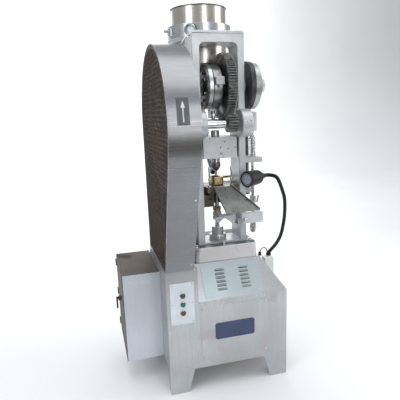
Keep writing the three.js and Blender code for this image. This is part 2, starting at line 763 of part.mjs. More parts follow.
// ---------- strap rod: rides on the eccentric and stays upright ----------
const strapRod = group(0, SHAFT_Y + THROW, SHAFT_Z);
const left = RAM_X - 24.5;
const right = RAM_X + 23.5;
const strapBody = cut(
  join(
    bar("x", left, right, STRAP_R, 0, 0, FINE),
    box(left + 3, right - 1, -20, 20, -112, -98),
    box(left + 3, left + 12, -17, 17, -146, -104),
    box(right - 10, right - 1, -17, 17, -146, -104),
    box(left + 7, 337, -124, -96, 5, 41),
    nut(11, -9, 5.5, 318, -110),
    bar("z", 40, 50, 6, 318, -110, SMALL),
  ),
  bar("x", left - 5, right + 5, ECCENTRIC_R + RUN, 0, 0, FINE),
);
add("eccentric_strap", strapBody, castGrey(), strapRod);
const strapScrew = join(
  bar("z", -163, -112 - GAP, 9, RAM_X, 0, SMALL),
  nut(13, -136, -124, RAM_X, 0),
);
add("strap_rod_screw", strapScrew, brightSteel(), strapRod);

// ---------- ram ----------
const ram = group(RAM_X, SHAFT_Y, 0);
add("ram", bar("z", RAM_BOTTOM + GAP, RAM_TOP, RAM_R), brightSteel(), ram);
const PUNCH_NUT_LOW = 1042;
const punchNutProfile = [
  [0, PUNCH_NUT_LOW],
  [10, PUNCH_NUT_LOW],
  [23.5, PUNCH_NUT_LOW + 20],
  [23.5, RAM_BOTTOM],
  [0, RAM_BOTTOM],
];
const punchNut = turned("z", punchNutProfile, ROUND);
add("upper_punch_nut", punchNut, metal(0x5d5760, 0.45, 0.7), ram);
add("upper_punch", bar("z", 1000, PUNCH_NUT_LOW - GAP, 6, 0, 0, SMALL), brightSteel(), ram);

// ---------- pinion shaft ----------
const pinionShaft = group(0, PINION_Y, PINION_Z);
const pinionShaftProfile = [
  [0, 12],
  [PINION_SHAFT_R, 12],
  [PINION_SHAFT_R, 339],
  [PINION_END_R, 345],
  [PINION_END_R, 457],
  [0, 457],
];
add("pinion_shaft", turned("x", pinionShaftProfile, ROUND), brightSteel(), pinionShaft);

const pinionPhase = mesh0 + Math.PI + Math.PI / PINION_TEETH;
const pinion = cut(
  prism("x", gearOutline(PINION_TEETH, pinionPhase), PINION_LEFT, PINION_RIGHT),
  bar("x", PINION_LEFT - 5, PINION_RIGHT + 5, PINION_END_R + GAP),
);
add("pinion", pinion, darkSteel(), pinionShaft);

function flywheel() {
  const profile = [
    [PINION_SHAFT_R + GAP, 22],
    [42, 22],
    [42, 56],
    [255, 56],
    [262, 30],
    [FLYWHEEL_R, 30],
    [FLYWHEEL_R, 98],
    [262, 98],
    [255, 72],
    [42, 72],
    [42, 106],
    [PINION_SHAFT_R + GAP, 106],
    [PINION_SHAFT_R + GAP, 22],
  ];
  const holeCircle = 150;
  const holes = [0, 1, 2, 3, 4].map((i) => {
    const angle = (i * 2 * Math.PI) / 5;
    const [y, z] = [holeCircle * Math.cos(angle), holeCircle * Math.sin(angle)];
    return bar("x", 50, 80, 62, y, z, SMALL);
  });
  return cut(turned("x", profile, FINE), ...holes);
}
add("flywheel", flywheel(), castGrey(), pinionShaft);

// ---------- ejector: roller, yoke, rod, spring, lever, lower punch ----------
const ROLLER_R = 18;
const rollerZ = SHAFT_Z - CAM_R - CAM_LIFT - ROLLER_R - 1; // clear of the lobe
const rodBracket = cut(
  join(
    box(FRAME_RIGHT + GAP, 545, 168, 232, BRACKET_LOW, BRACKET_HIGH),
    box(FRAME_RIGHT + GAP, 536, 232, 300, BRACKET_LOW, BRACKET_HIGH),
  ),
  bar("z", BRACKET_LOW - 5, BRACKET_HIGH + 5, ROD_R + RUN, ROD_X, SHAFT_Y, SMALL),
  bar("z", BRACKET_LOW - 5, BRACKET_HIGH + 5, FEEDER_R + RUN, ROD_X, FEEDER_Y, SMALL),
);
add("rod_bracket", rodBracket, silverPaint());

const liftRod = group(ROD_X, SHAFT_Y, 0);
const YOKE_LOW = 1226;
const rodSolid = join(
  bar("z", 706, YOKE_LOW, ROD_R, 0, 0, SMALL),
  bar("z", 824, 836, 14, 0, 0, SMALL),
  bar("z", SPRING_TOP, SPRING_TOP + 10, 20, 0, 0, SMALL),
  nut(13, SPRING_TOP + 10, SPRING_TOP + 20, 0, 0),
  round("z", 856, 900, 13, 17, 0, 0, SMALL), // clamp with its small lever
  box(10, 22, -6, 6, 866, 872),
  prism("y", outlineOf([17, 868], [24, 862], [34, 900], [27, 902]), -5, 5),
  nut(17, 742, 764, 0, 0), // end nuts
  bar("z", 728, 743, 18, 0, 0, SMALL),
  nut(15, 712, 729, 0, 0),
);
add("lift_rod", rodSolid, brightSteel(), liftRod);

const yoke = join(
  box(-14, 19, -14, 14, YOKE_LOW + GAP, 1246),
  prism("x", roundedRectangle(-14, 14, 1240, rollerZ + 15, 13), 5, 19),
  bar("x", -21, 6, 6, 0, rollerZ, SMALL),
);
add("lift_yoke", yoke, silverPaint(), liftRod);
const roller = group(ROD_X, SHAFT_Y, rollerZ, machine);
add("lift_roller", turned("x", ring(6 + RUN, ROLLER_R, -19, 4), ROUND), brightSteel(), roller);

class Helix extends THREE.Curve {
  constructor(radius, low, high, turns) {
    super();
    Object.assign(this, { radius, low, high, turns });
  }
  getPoint(t, target = new THREE.Vector3()) {
    const angle = t * this.turns * 2 * Math.PI;
    const z = this.low + t * (this.high - this.low);
    return target.set(this.radius * Math.cos(angle), this.radius * Math.sin(angle), z);
  }
}

function circlePoints(radius, sides) {
  const circle = new THREE.Path();
  circle.absarc(0, 0, radius, 0, 2 * Math.PI);
  return circle.getSpacedPoints(sides).slice(0, sides);
}

function tube(curve, radius, steps, sides) {
  const outline = new THREE.Shape(circlePoints(radius, sides));
  return new THREE.ExtrudeGeometry(outline, { steps, extrudePath: curve, bevelEnabled: false });
}

const springWire = 2.4;
const coilLow = BRACKET_HIGH + GAP + springWire;
const coil = new Helix(17.5, coilLow, SPRING_TOP - GAP - springWire, 7);
add("lift_spring", tube(coil, springWire, 70, 4), brightSteel(), liftRod);

// The lever forks round the lower punch on the left and round the rod on the right.
const lever = group(LEVER_X, SHAFT_Y, LEVER_Z);
function ejectorLever() {
  const arm = outlineOf(
    [-123, 15],
    [-133, 7],
    [-133, -7],
    [-123, -15],
    [-110, -12],
    [-92, 2],
    [-72, -4],
    [-56, -22],
    [-44, -26],
    [-30, -14],
    [-30, 22],
    [-60, 16],
    [-85, 12],
    [-104, 14],
  );
  const cheeks = [-30, 20].map((y) => prism("y", arm, y, y + 10));
  const hub = join(
    bar("y", -15, 15, 18),
    box(-50, 15, -14, 14, -9, 9),
    box(-50, -30, -25, 25, -12, 12),
  );
  const fork = [-15, 11].map((y) => box(8, 92, y, y + 4, -11, 12));
  const body = join(...cheeks, hub, ...fork);
  const eye = bar("y", -40, 40, 4, -119, 0, SMALL);
  return cut(body, bar("y", -40, 40, LEVER_PIN_R + RUN, 0, 0, SMALL), eye);
}
add("ejector_lever", ejectorLever(), whitePaint(), lever);
const leverBracket = join(
  box(415, 528, 121, FRAME_FRONT - GAP, 779, 831),
  bar("y", 113, 240, LEVER_PIN_R, LEVER_X, LEVER_Z, SMALL),
  bar("y", 117, 125, 5, 421, 790, SCREW),
);
add("lever_bracket", leverBracket, silverPaint());

const lowerPunch = group(RAM_X, SHAFT_Y, 0);
const LOWER_PUNCH_R = 11;
const lowerPunchSolid = join(
  bar("z", 745, 905, LOWER_PUNCH_R, 0, 0, SMALL),
  bar("z", 900, 928, 8, 0, 0, SMALL),
  bar("z", 923, 963, 6, 0, 0, SMALL),
  bar("z", 836, 844, 17, 0, 0, SMALL),
  bar("z", 819, 838, 23, 0, 0, SMALL), // the two adjusting collars
  bar("z", 842, 862, 20, 0, 0, SMALL),
);
add("lower_punch", lowerPunchSolid, brightSteel(), lowerPunch);
const base = group(RAM_X, SHAFT_Y, 0);
const baseProfile = [
  [16, WINDOW_BOTTOM + GAP],
  [43, WINDOW_BOTTOM + GAP],
  [43, 716],
  [39, 722],
  [30, 722],
  [30, 760],
  [LOWER_PUNCH_R + RUN, 760],
  [LOWER_PUNCH_R + RUN, 722],
  [16, 722],
  [16, WINDOW_BOTTOM + GAP],
];
add("punch_base_nut", turned("z", baseProfile, ROUND), castGrey(), base);

// ---------- feeder ----------
const feederBearing = cut(
  box(FRAME_RIGHT + GAP, 530, 253, 300, BEARING_LOW, BEARING_HIGH),
  bar("z", BEARING_LOW - 5, BEARING_HIGH + 5, FEEDER_R + RUN, ROD_X, FEEDER_Y, SMALL),
);
add("feeder_bearing", feederBearing, silverPaint());

const feeder = group(ROD_X, FEEDER_Y, 0);
const flatBar = (x0, y0, x1, y1, low, high, half) => {
  const length = Math.hypot(x1 - x0, y1 - y0);
  const strip = box(0, length, -half, half, low, high);
  return strip.rotateZ(Math.atan2(y1 - y0, x1 - x0)).translate(x0, y0, 0);
};
const feederShaft = join(
  bar("z", 896, 1330, FEEDER_R, 0, 0, SMALL),
  bar("z", 984, 1000, 17, 0, 0, SMALL),
  bar("z", BEARING_HIGH + GAP, BEARING_HIGH + 12, 14, 0, 0, SMALL),
  bar("z", 896, BEARING_LOW - 1, 13, 0, 0, SMALL),
  bar("z", 1318, 1332, 15, 0, 0, SMALL),
  flatBar(0, 0, -37, 61, 1318, 1330, 9),
  bar("z", 1318, 1452, 8, -37, 61, SMALL),
);
add("feeder_shaft", feederShaft, darkSteel(), feeder);

function feedShoe() {
  const arm = join(
    flatBar(-14, 2, -52, 32, 986, 997, 10),
    bar("z", 986, 997, 10, -52, 32, SMALL),
    flatBar(-52, 32, -172, 32, 986, 997, 10),
    bar("z", 986, 997, 10, -172, 32, SMALL),
    flatBar(-172, 32, -190, -42, 986, 997, 10),
  );
  const shoe = prism("z", roundedRectangle(-222, -164, -112, -38, 12), TABLE_TOP + 3.5, 1014);
  const pocket = prism("z", roundedRectangle(-210, -176, -101, -49, 10), TABLE_TOP - 5, 1020);
  const socket = bar("z", 980, 1005, 17 + GAP, 0, 0, SMALL);
  return cut(join(arm, shoe), pocket, socket);
}
add("feed_shoe", feedShoe(), metal(0xc69a4b, 0.4, 0.9), feeder);

// ---------- hopper ----------
const hopperAxis = group(RAM_X, HOPPER_Y, 0);
const hopperProfile = [
  [28, OUTLET_Z],
  [30, OUTLET_Z],
  [30, OUTLET_Z + 12],
  [HOPPER_R, CONE_TOP],
  [HOPPER_R, HOPPER_TOP - 8],
  [HOPPER_R + 4, HOPPER_TOP - 6],
  [HOPPER_R + 4, HOPPER_TOP],
  [HOPPER_R - 2, HOPPER_TOP],
  [HOPPER_R - 2, CONE_TOP + 1],
  [28, OUTLET_Z + 13],
  [28, OUTLET_Z],
];
add("hopper", turned("z", hopperProfile, FINE), metal(0xcfd2d4, 0.15, 1), hopperAxis);

const COLLAR_SHEET = 2.5;
const collarProfile = [
  [HOPPER_R + GAP, COLLAR_LOW],
  [COLLAR_R, COLLAR_LOW],
  [COLLAR_R, COLLAR_HIGH],
  [COLLAR_R - COLLAR_SHEET, COLLAR_HIGH],
  [COLLAR_R - COLLAR_SHEET, COLLAR_LOW + COLLAR_SHEET],
  [HOPPER_R + GAP, COLLAR_LOW + COLLAR_SHEET],
  [HOPPER_R + GAP, COLLAR_LOW],
];
add("hopper_collar", turned("z", collarProfile, FINE), stainless(), hopperAxis);

const plateTop = COLLAR_LOW - GAP;
const hopperBracket = cut(
  join(
    box(232, 440, 155, 330, FRAME_TOP + GAP, plateTop),
    bar("z", FRAME_TOP + GAP, plateTop, COLLAR_R - 3, RAM_X, HOPPER_Y, FINE),
    ...[250, 420].map((x) => nut(9, plateTop - 1, plateTop + 7, x, 185)),
  ),
  bar("z", FRAME_TOP - 5, plateTop + 10, HOPPER_R + 2 * GAP, RAM_X, HOPPER_Y, FINE),
);
add("hopper_bracket", hopperBracket, silverPaint());

// A round sight port and a toggle clamp on the collar, each turned to face outwards.
function onCollar(degrees) {
  const holder = group(RAM_X, HOPPER_Y, (COLLAR_LOW + COLLAR_HIGH) / 2);
  holder.rotation.z = THREE.MathUtils.degToRad(degrees);
  return holder;
}
const portSolid = join(
  turned("x", ring(22, 31, COLLAR_R + GAP, COLLAR_R + 9), ROUND),
  bar("x", COLLAR_R + GAP, COLLAR_R + 4, 23),
);
add("sight_port", portSolid, brightSteel(), onCollar(-118));
const clampSolid = join(
  box(COLLAR_R + 2 * GAP, COLLAR_R + 13, -12, 12, -18, 18),
  bar("x", 174, 204, 5, 0, 4, SMALL),
  bar("z", -14, 12, 4, 186, 0, SCREW),
);
add("hopper_clamp", clampSolid, brightSteel(), onCollar(-160));

// The feed tube carries powder from the hopper's outlet down to the shoe.
function feedTube() {
  const route = new THREE.CatmullRomCurve3(
    [
      [RAM_X, HOPPER_Y, 1439],
      [RAM_X, HOPPER_Y, 1380],
      [RAM_X, 400, 1290],
      [RAM_X, 345, 1190],
      [RAM_X, 318, 1110],
      [RAM_X, 268, 1055],
      [RAM_X, 238, 1030],
    ].map((p) => new THREE.Vector3(...p)),
  );
  const outline = new THREE.Shape(circlePoints(17, 8));
  outline.holes.push(new THREE.Path(circlePoints(15, 8).reverse()));
  return new THREE.ExtrudeGeometry(outline, { steps: 10, extrudePath: route, bevelEnabled: false });
}
add("feed_tube", feedTube(), stainless());

// ---------- work lamp ----------
const socketSolid = join(
  prism("y", outlineOf([549, 577], [597, 577], [597, 466], [549, 538.5]), 146, 194),
  bar("z", 576, NECK_Z - 0.5, 15, NECK_X, NECK_Y, SMALL),
);
add("lamp_socket", socketSolid, whitePaint());

const lamp = group(NECK_X, NECK_Y, NECK_Z);
const NECK_ROUTE = [
  [0, 0, 4],
  [2, 0, 16],
  [20, 0, 34],
  [48, -2, 66],
  [70, -4, 112],
  [84, -6, 183],
  [88, -7, 240],
  [85, -9, 296],
  [73, -12, 336],
  [50, -15, 393],
  [30, -20, 416],
  [8, -19, 423.5],
  [-14, -23.5, 427],
  [-42.2, -39.2, 428],
];
function gooseneck() {
  const route = new THREE.CatmullRomCurve3(NECK_ROUTE.map((p) => new THREE.Vector3(...p)));
  const foot = bar("z", 0, 12, 13, 0, 0, SMALL);
  return join(tube(route, 9.5, 26, 8), foot);
}
add("gooseneck", gooseneck(), blackPlastic(), lamp);

const lampHead = group(-158, -108, 428, lamp); // the middle of the lens
lampHead.rotation.order = "ZYX";
lampHead.rotation.z = Math.atan2(82, 138);
const headProfile = [
  [0, 1],
  [33, 1],
  [33, -3],
  [37, -3],
  [38, 6],
  [36, 62],
  [34, 84],
  [16, 118],
  [13, 134],
  [0, 134],
];
add("lamp_head", turned("x", headProfile, ROUND), blackPlastic(), lampHead);

// The origin is the middle of the footprint, on the floor.
machine.position.set(-FOOTPRINT_MIDDLE_X, -FOOTPRINT_MIDDLE_Y, 0);

export default press;
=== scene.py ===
import math

import bmesh
import bpy
from mathutils import Matrix, Vector


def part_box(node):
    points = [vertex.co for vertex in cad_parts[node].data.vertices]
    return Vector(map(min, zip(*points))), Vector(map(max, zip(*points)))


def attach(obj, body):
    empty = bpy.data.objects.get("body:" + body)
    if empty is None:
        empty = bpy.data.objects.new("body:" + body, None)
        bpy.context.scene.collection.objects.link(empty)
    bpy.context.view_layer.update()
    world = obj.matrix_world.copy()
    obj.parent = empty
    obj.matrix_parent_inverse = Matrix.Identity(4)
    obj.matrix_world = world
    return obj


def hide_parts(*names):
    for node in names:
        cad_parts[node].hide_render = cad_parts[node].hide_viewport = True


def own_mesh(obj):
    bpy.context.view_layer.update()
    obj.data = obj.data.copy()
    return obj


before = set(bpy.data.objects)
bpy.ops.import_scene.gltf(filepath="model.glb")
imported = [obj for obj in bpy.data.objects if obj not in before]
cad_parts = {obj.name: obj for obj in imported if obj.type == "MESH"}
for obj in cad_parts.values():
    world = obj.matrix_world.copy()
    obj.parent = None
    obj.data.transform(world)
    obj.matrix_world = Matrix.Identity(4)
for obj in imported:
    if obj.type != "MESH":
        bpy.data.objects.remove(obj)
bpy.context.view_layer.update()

MM = 0.001
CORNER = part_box("cabinet_shell")[0]


def span(node):
    """A CAD node's box as ((x0, x1), (y0, y1), (z0, z1)), in millimetres from the corner."""
    low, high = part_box(node)
    return [((low[i] - CORNER[i]) / MM, (high[i] - CORNER[i]) / MM) for i in range(3)]


def middle(node):
    return [(low + high) / 2 for low, high in span(node)]


# ---------- driving places ----------
SHAFT = middle("main_shaft")[1:]  # (Y, Z) of the main shaft's axis
PINION = middle("pinion_shaft")[1:]
MOTOR = middle("motor_pulley")[1:]
RAM = middle("ram")[:2]  # (X, Y) of the punches' axis
HOPPER = middle("hopper")[:2]
ROD = (505, SHAFT[0])
FEEDER = (505, 275)
LEVER = (431, 800)  # (X, Z) of the ejector lever's pivot
THROW = 22
FEEDER_CAM_R = 115
FEEDER_CAM_LIFT = 4
FEEDER_CAM_X = (464, 485.5)  # left and right face
LIFT_CAM_R = 109
LIFT_CAM_LIFT = 9
LIFT_CAM_X = (485.8, 513)
GEAR_MODULE = 4
SHAFT_BORE = 25.3  # radius of the holes that the main shaft passes through
BELT_LEFTS = (39, 69)
BELT_WIDTH = 18
SPRING_Z = (span("rod_bracket")[2][1], 1186)

# ---------- camera ----------
CAMERA_PLACE = (-0.5375, -2.0112, 1.342)
CAMERA_AZIMUTH = math.radians(-14.7)
CAMERA_ELEVATION = math.radians(11.9)
CAMERA_ROLL = math.radians(-2.0)
CAMERA_LENS = 38.93


def add_camera():
    data = bpy.data.cameras.new("camera")
    data.lens = CAMERA_LENS
    data.sensor_width = 36
    camera = bpy.data.objects.new("camera", data)
    bpy.context.scene.collection.objects.link(camera)
    azimuth, elevation, roll = CAMERA_AZIMUTH, CAMERA_ELEVATION, CAMERA_ROLL
    back = Vector(
        (
            math.sin(azimuth) * math.cos(elevation),
            -math.cos(azimuth) * math.cos(elevation),
            math.sin(elevation),
        )
    )
    level = Vector((math.cos(azimuth), math.sin(azimuth), 0))
    plumb = back.cross(level)
    right = math.cos(roll) * level + math.sin(roll) * plumb
    up = -math.sin(roll) * level + math.cos(roll) * plumb
    turn = Matrix((right, up, back)).transposed().to_4x4()
    camera.matrix_world = Matrix.Translation(CAMERA_PLACE) @ turn
    bpy.context.scene.camera = camera


add_camera()


# ---------- studio ----------
def add_light(name, place, aim, size, power, tint=(1, 1, 1)):
    data = bpy.data.lights.new(name, "AREA")
    data.shape = "RECTANGLE"
    data.size, data.size_y = size
    data.energy = power
    data.color = tint
    light = bpy.data.objects.new(name, data)
    bpy.context.scene.collection.objects.link(light)
    direction = Vector(aim) - Vector(place)
    light.matrix_world = Matrix.Translation(place) @ direction.to_track_quat("-Z", "Y").to_matrix().to_4x4()


def add_studio():
    world = bpy.data.worlds.new("studio")
    world.use_nodes = True
    bpy.context.scene.world = world
    background = world.node_tree.nodes["Background"]
    tree = world.node_tree
    height = tree.nodes.new("ShaderNodeSeparateXYZ")
    ramp = tree.nodes.new("ShaderNodeValToRGB")
    tree.links.new(tree.nodes.new("ShaderNodeTexCoord").outputs["Generated"], height.inputs[0])
    spread = tree.nodes.new("ShaderNodeMapRange")
    spread.inputs["From Min"].default_value = -1.0
    tree.links.new(height.outputs["Z"], spread.inputs["Value"])
    tree.links.new(spread.outputs[0], ramp.inputs[0])
    tree.links.new(ramp.outputs[0], background.inputs["Color"])
    tones = [(0.0, (0.17, 0.135, 0.12)), (0.46, (0.27, 0.245, 0.225)), (0.53, (0.46, 0.45, 0.44))]
    tones.append((0.82, (0.84, 0.88, 0.93)))
    while len(ramp.color_ramp.elements) < len(tones):
        ramp.color_ramp.elements.new(0.5)
    for element, (position, tone) in zip(ramp.color_ramp.elements, tones):
        element.position = position
        element.color = (*tone, 1)
    background.inputs["Strength"].default_value = 0.75
    add_light("overhead", (-0.2, -0.5, 3.8), (0, 0, 1.0), (3.4, 2.4), 48)
    add_light("window_left", (-2.9, -2.1, 2.0), (0, 0, 1.0), (1.3, 2.4), 34, (0.93, 0.97, 1.0))
    add_light("front_strip", (0.75, -3.4, 1.7), (0.1, 0, 1.1), (0.8, 2.4), 22)
    add_light("fill_right", (2.8, -0.6, 1.7), (0, 0, 1.0), (1.2, 2.2), 26, (1.0, 0.98, 0.95))
    add_light("fill_back", (0.4, 2.6, 2.3), (0, 0, 1.0), (2.0, 1.4), 16)
    add_light("backdrop", (0.0, 3.2, 4.6), (0.0, 7.0, 1.6), (5.0, 1.5), 260)


add_studio()
bpy.context.scene.view_settings.view_transform = "Standard"


# ---------- materials ----------
class Graph:
    """A material and short ways to add nodes to it."""

    def __init__(self, name):
        self.material = bpy.data.materials.new(name)
        self.material.use_nodes = True
        self.tree = self.material.node_tree
        self.shader = self.tree.nodes["Principled BSDF"]
        self.place = self.node("TexCoord").outputs["Object"]

    def node(self, kind, inputs=(), **settings):
        made = self.tree.nodes.new("ShaderNode" + kind)
        for key, value in settings.items():
            setattr(made, key, value)
        for key, value in inputs:
            self.feed(made.inputs[key], value)
        return made

    def feed(self, socket, value):
        if isinstance(value, bpy.types.NodeSocket):
            self.tree.links.new(value, socket)
        else:
            socket.default_value = value

    def noise(self, scale, detail=3, stretch=None):
        place = self.place
        if stretch:
            place = self.node("Mapping", [("Vector", place), ("Scale", stretch)]).outputs[0]
        inputs = [("Vector", place), ("Scale", scale), ("Detail", detail)]
        return self.node("TexNoise", inputs).outputs[0]

    def fade(self, value, low, high, start=0.0, end=1.0):
        """value's stretch from low to high, drawn out from start to end."""
        inputs = [
            ("Value", value), ("From Min", low), ("From Max", high), ("To Min", start),
            ("To Max", end),
        ]
        return self.node("MapRange", inputs).outputs[0]

    def math(self, operation, first, second):
        return self.node("Math", [(0, first), (1, second)], operation=operation).outputs[0]

    def mix(self, factor, first, second):
        def rgba(value):
            return value if isinstance(value, bpy.types.NodeSocket) else (*value, 1)

        inputs = [(0, factor), (6, rgba(first)), (7, rgba(second))]
        return self.node("Mix", inputs, data_type="RGBA").outputs[2]

    def edges(self, reach, scatter):
        """1 along worn edges, 0 on the flats between them."""
        bevel = self.node("Bevel", [("Radius", reach)], samples=4).outputs[0]
        normal = self.node("NewGeometry").outputs["Normal"]
        inputs = [(0, bevel), (1, normal)]
        flat = self.node("VectorMath", inputs, operation="DOT_PRODUCT").outputs["Value"]
        rubbed = self.fade(self.noise(scatter, 5), 0.42, 0.58)
        return self.math("MULTIPLY", self.fade(flat, 0.99, 0.9), rubbed)


def look(
    name,
    color,
    tone,
    rough,
    metallic=0.0,
    patch=4.0,
    brush=None,
    brush_depth=0.0,
    grain=600.0,
    grain_depth=0.0,
    stain=None,
    wear=None,
    coat=0.0,
    gloss=0.5,
):
    """A surface whose colour drifts from color to tone in patches, with its roughness, its brushed
    streaks or cast grain, its stains (colour, size, share) and its rubbed edges."""
    graph = Graph(name)
    shader = graph.shader
    shader.inputs["Metallic"].default_value = metallic
    shader.inputs["Specular IOR Level"].default_value = gloss
    shader.inputs["Coat Weight"].default_value = coat
    shader.inputs["Coat Roughness"].default_value = 0.12
    cloud = graph.noise(patch, 4)
    shade = graph.mix(graph.fade(cloud, 0.36, 0.64), color, tone)
    fine = graph.noise(grain, 3)
    height = graph.math("MULTIPLY", fine, grain_depth)
    matt = graph.fade(cloud, 0.3, 0.7, rough[0], rough[1])
    if brush:
        streaks = graph.noise(1.0, 2, brush)
        height = graph.math("ADD", height, graph.math("MULTIPLY", streaks, brush_depth))
        matt = graph.math("ADD", matt, graph.fade(streaks, 0.3, 0.7, -0.06, 0.06))
        shade = graph.mix(graph.fade(streaks, 0.25, 0.75, 0.0, 0.16), shade, tuple(c * 0.55 for c in color))
    if stain:
        stain_color, size, share = stain
        spots = graph.fade(graph.noise(size, 6), 1 - share, 1 - share + 0.09)
        shade = graph.mix(spots, shade, stain_color)
        matt = graph.math("ADD", matt, graph.math("MULTIPLY", spots, 0.15))
    if wear:
        rubbed = graph.edges(0.0022, 90.0)
        shade = graph.mix(rubbed, shade, wear)
    bump = graph.node("Bump", [("Height", height), ("Strength", 1.0), ("Distance", 0.001)])
    graph.feed(shader.inputs["Base Color"], shade)
    graph.feed(shader.inputs["Roughness"], matt)
    graph.feed(shader.inputs["Normal"], bump.outputs[0])
    return graph.material


ALONG_X = (4, 420, 420)
ALONG_Y = (420, 4, 420)
ALONG_Z = (420, 420, 4)

sheet = look(
    "satin_stainless", (0.53, 0.555, 0.57), (0.45, 0.465, 0.475), (0.28, 0.4), 0.9, 3.0,
    ALONG_Z, 0.02, stain=((0.485, 0.465, 0.465), 7.0, 0.42), wear=(0.74, 0.76, 0.78),
)
band_steel = look(
    "brushed_band", (0.29, 0.30, 0.315), (0.235, 0.235, 0.24), (0.26, 0.36), 0.95, 2.5,
    ALONG_X, 0.02, stain=((0.25, 0.22, 0.205), 4.0, 0.38), wear=(0.7, 0.72, 0.75),
)
cover_steel = look(
    "console_sheet", (0.50, 0.56, 0.58), (0.42, 0.49, 0.51), (0.30, 0.42), 0.85, 5.0,
    ALONG_X, 0.02, stain=((0.36, 0.42, 0.43), 9.0, 0.40), wear=(0.75, 0.8, 0.8),
)
box_steel = look(
    "box_sheet", (0.62, 0.66, 0.71), (0.55, 0.59, 0.63), (0.34, 0.46), 0.7, 3.0,
    ALONG_Z, 0.02, wear=(0.8, 0.82, 0.84),
)
door_steel = look(
    "door_sheet", (0.075, 0.058, 0.048), (0.05, 0.038, 0.031), (0.5, 0.62), 0.1, 3.0,
    ALONG_Z, 0.02, stain=((0.045, 0.028, 0.02), 6.0, 0.42), wear=(0.2, 0.175, 0.155), gloss=0.25,
)
mirror_steel = look(
    "polished_steel", (0.69, 0.665, 0.62), (0.58, 0.55, 0.50), (0.20, 0.30), 1.0, 6.0,
    ALONG_Z, 0.012, wear=(0.8, 0.8, 0.8),
)
collar_steel = look(
    "satin_collar", (0.64, 0.67, 0.70), (0.55, 0.58, 0.6), (0.22, 0.32), 0.95, 6.0,
    ALONG_X, 0.02, wear=(0.82, 0.84, 0.86),
)
frame_paint = look(
    "silver_paint", (0.60, 0.625, 0.64), (0.51, 0.535, 0.55), (0.34, 0.5), 0.4, 7.0,
    grain=420.0, grain_depth=0.1, stain=((0.36, 0.38, 0.37), 26.0, 0.34), wear=(0.84, 0.86, 0.87), coat=0.1,
)
block_paint = look(
    "white_scuffed_paint", (0.70, 0.71, 0.73), (0.62, 0.63, 0.65), (0.42, 0.6), 0.15, 12.0,
    grain=300.0, grain_depth=0.12, stain=((0.22, 0.22, 0.215), 60.0, 0.37), wear=(0.42, 0.43, 0.43),
)
plinth_paint = look(
    "plinth_paint", (0.74, 0.73, 0.75), (0.66, 0.655, 0.67), (0.3, 0.45), 0.45, 6.0,
    ALONG_X, 0.02, grain=420.0, grain_depth=0.1,
    stain=((0.5, 0.46, 0.46), 14.0, 0.36), wear=(0.86, 0.87, 0.88),
)
bracket_paint = look(
    "bracket_paint", (0.60, 0.62, 0.63), (0.50, 0.52, 0.53), (0.4, 0.55), 0.35, 12.0,
    grain=380.0, grain_depth=0.25, stain=((0.25, 0.26, 0.25), 50.0, 0.35), wear=(0.8, 0.82, 0.82),
)
dark_iron = look(
    "oiled_dark_iron", (0.075, 0.075, 0.08), (0.05, 0.05, 0.053), (0.34, 0.5), 0.7, 16.0,
    grain=520.0, grain_depth=0.08, stain=((0.12, 0.11, 0.10), 30.0, 0.36), wear=(0.42, 0.42, 0.42),
)
gear_iron = look(
    "gear_iron", (0.20, 0.205, 0.20), (0.14, 0.15, 0.145), (0.3, 0.45), 0.85, 18.0,
    ALONG_X, 0.04, grain=520.0, grain_depth=0.2,
    stain=((0.07, 0.07, 0.065), 34.0, 0.42), wear=(0.72, 0.73, 0.72),
)
strap_iron = look(
    "strap_iron", (0.37, 0.385, 0.385), (0.30, 0.31, 0.31), (0.3, 0.42), 0.9, 16.0,
    ALONG_X, 0.02, grain=420.0, grain_depth=0.04,
    stain=((0.20, 0.20, 0.195), 26.0, 0.34), wear=(0.7, 0.71, 0.72),
)
rim_iron = look(
    "rim_iron", (0.50, 0.52, 0.52), (0.42, 0.44, 0.44), (0.28, 0.38), 0.92, 16.0,
    ALONG_X, 0.02, stain=((0.26, 0.26, 0.25), 24.0, 0.33), wear=(0.75, 0.76, 0.77),
)
cam_iron = look(
    "cam_iron", (0.50, 0.515, 0.51), (0.40, 0.41, 0.405), (0.28, 0.4), 0.92, 12.0,
    ALONG_X, 0.03, grain=420.0, grain_depth=0.05,
    stain=((0.18, 0.17, 0.16), 22.0, 0.36), wear=(0.72, 0.73, 0.73),
)
table_iron = look(
    "table_iron", (0.17, 0.165, 0.14), (0.10, 0.095, 0.08), (0.26, 0.45), 0.8, 26.0,
    grain=420.0, grain_depth=0.1, stain=((0.05, 0.045, 0.03), 60.0, 0.45), wear=(0.55, 0.55, 0.52),
)
chute_steel = look(
    "chute_steel", (0.30, 0.305, 0.295), (0.21, 0.21, 0.20), (0.32, 0.5), 0.88, 20.0,
    ALONG_Y, 0.03, grain=420.0, grain_depth=0.08,
    stain=((0.09, 0.08, 0.06), 44.0, 0.37), wear=(0.62, 0.63, 0.62),
)
ground_steel = look(
    "ground_steel", (0.66, 0.67, 0.68), (0.56, 0.57, 0.58), (0.16, 0.28), 1.0, 20.0,
    ALONG_Z, 0.02, stain=((0.36, 0.34, 0.30), 40.0, 0.34), wear=(0.85, 0.85, 0.85),
)
shaft_steel = look(
    "shaft_steel", (0.62, 0.655, 0.65), (0.52, 0.55, 0.55), (0.14, 0.24), 1.0, 20.0,
    (420, 6, 6), 0.02, wear=(0.85, 0.85, 0.85),
)
tinted_steel = look(
    "heat_tinted_steel", (0.30, 0.27, 0.33), (0.21, 0.19, 0.23), (0.26, 0.4), 0.95, 30.0,
    grain=500.0, grain_depth=0.12, wear=(0.66, 0.64, 0.68),
)
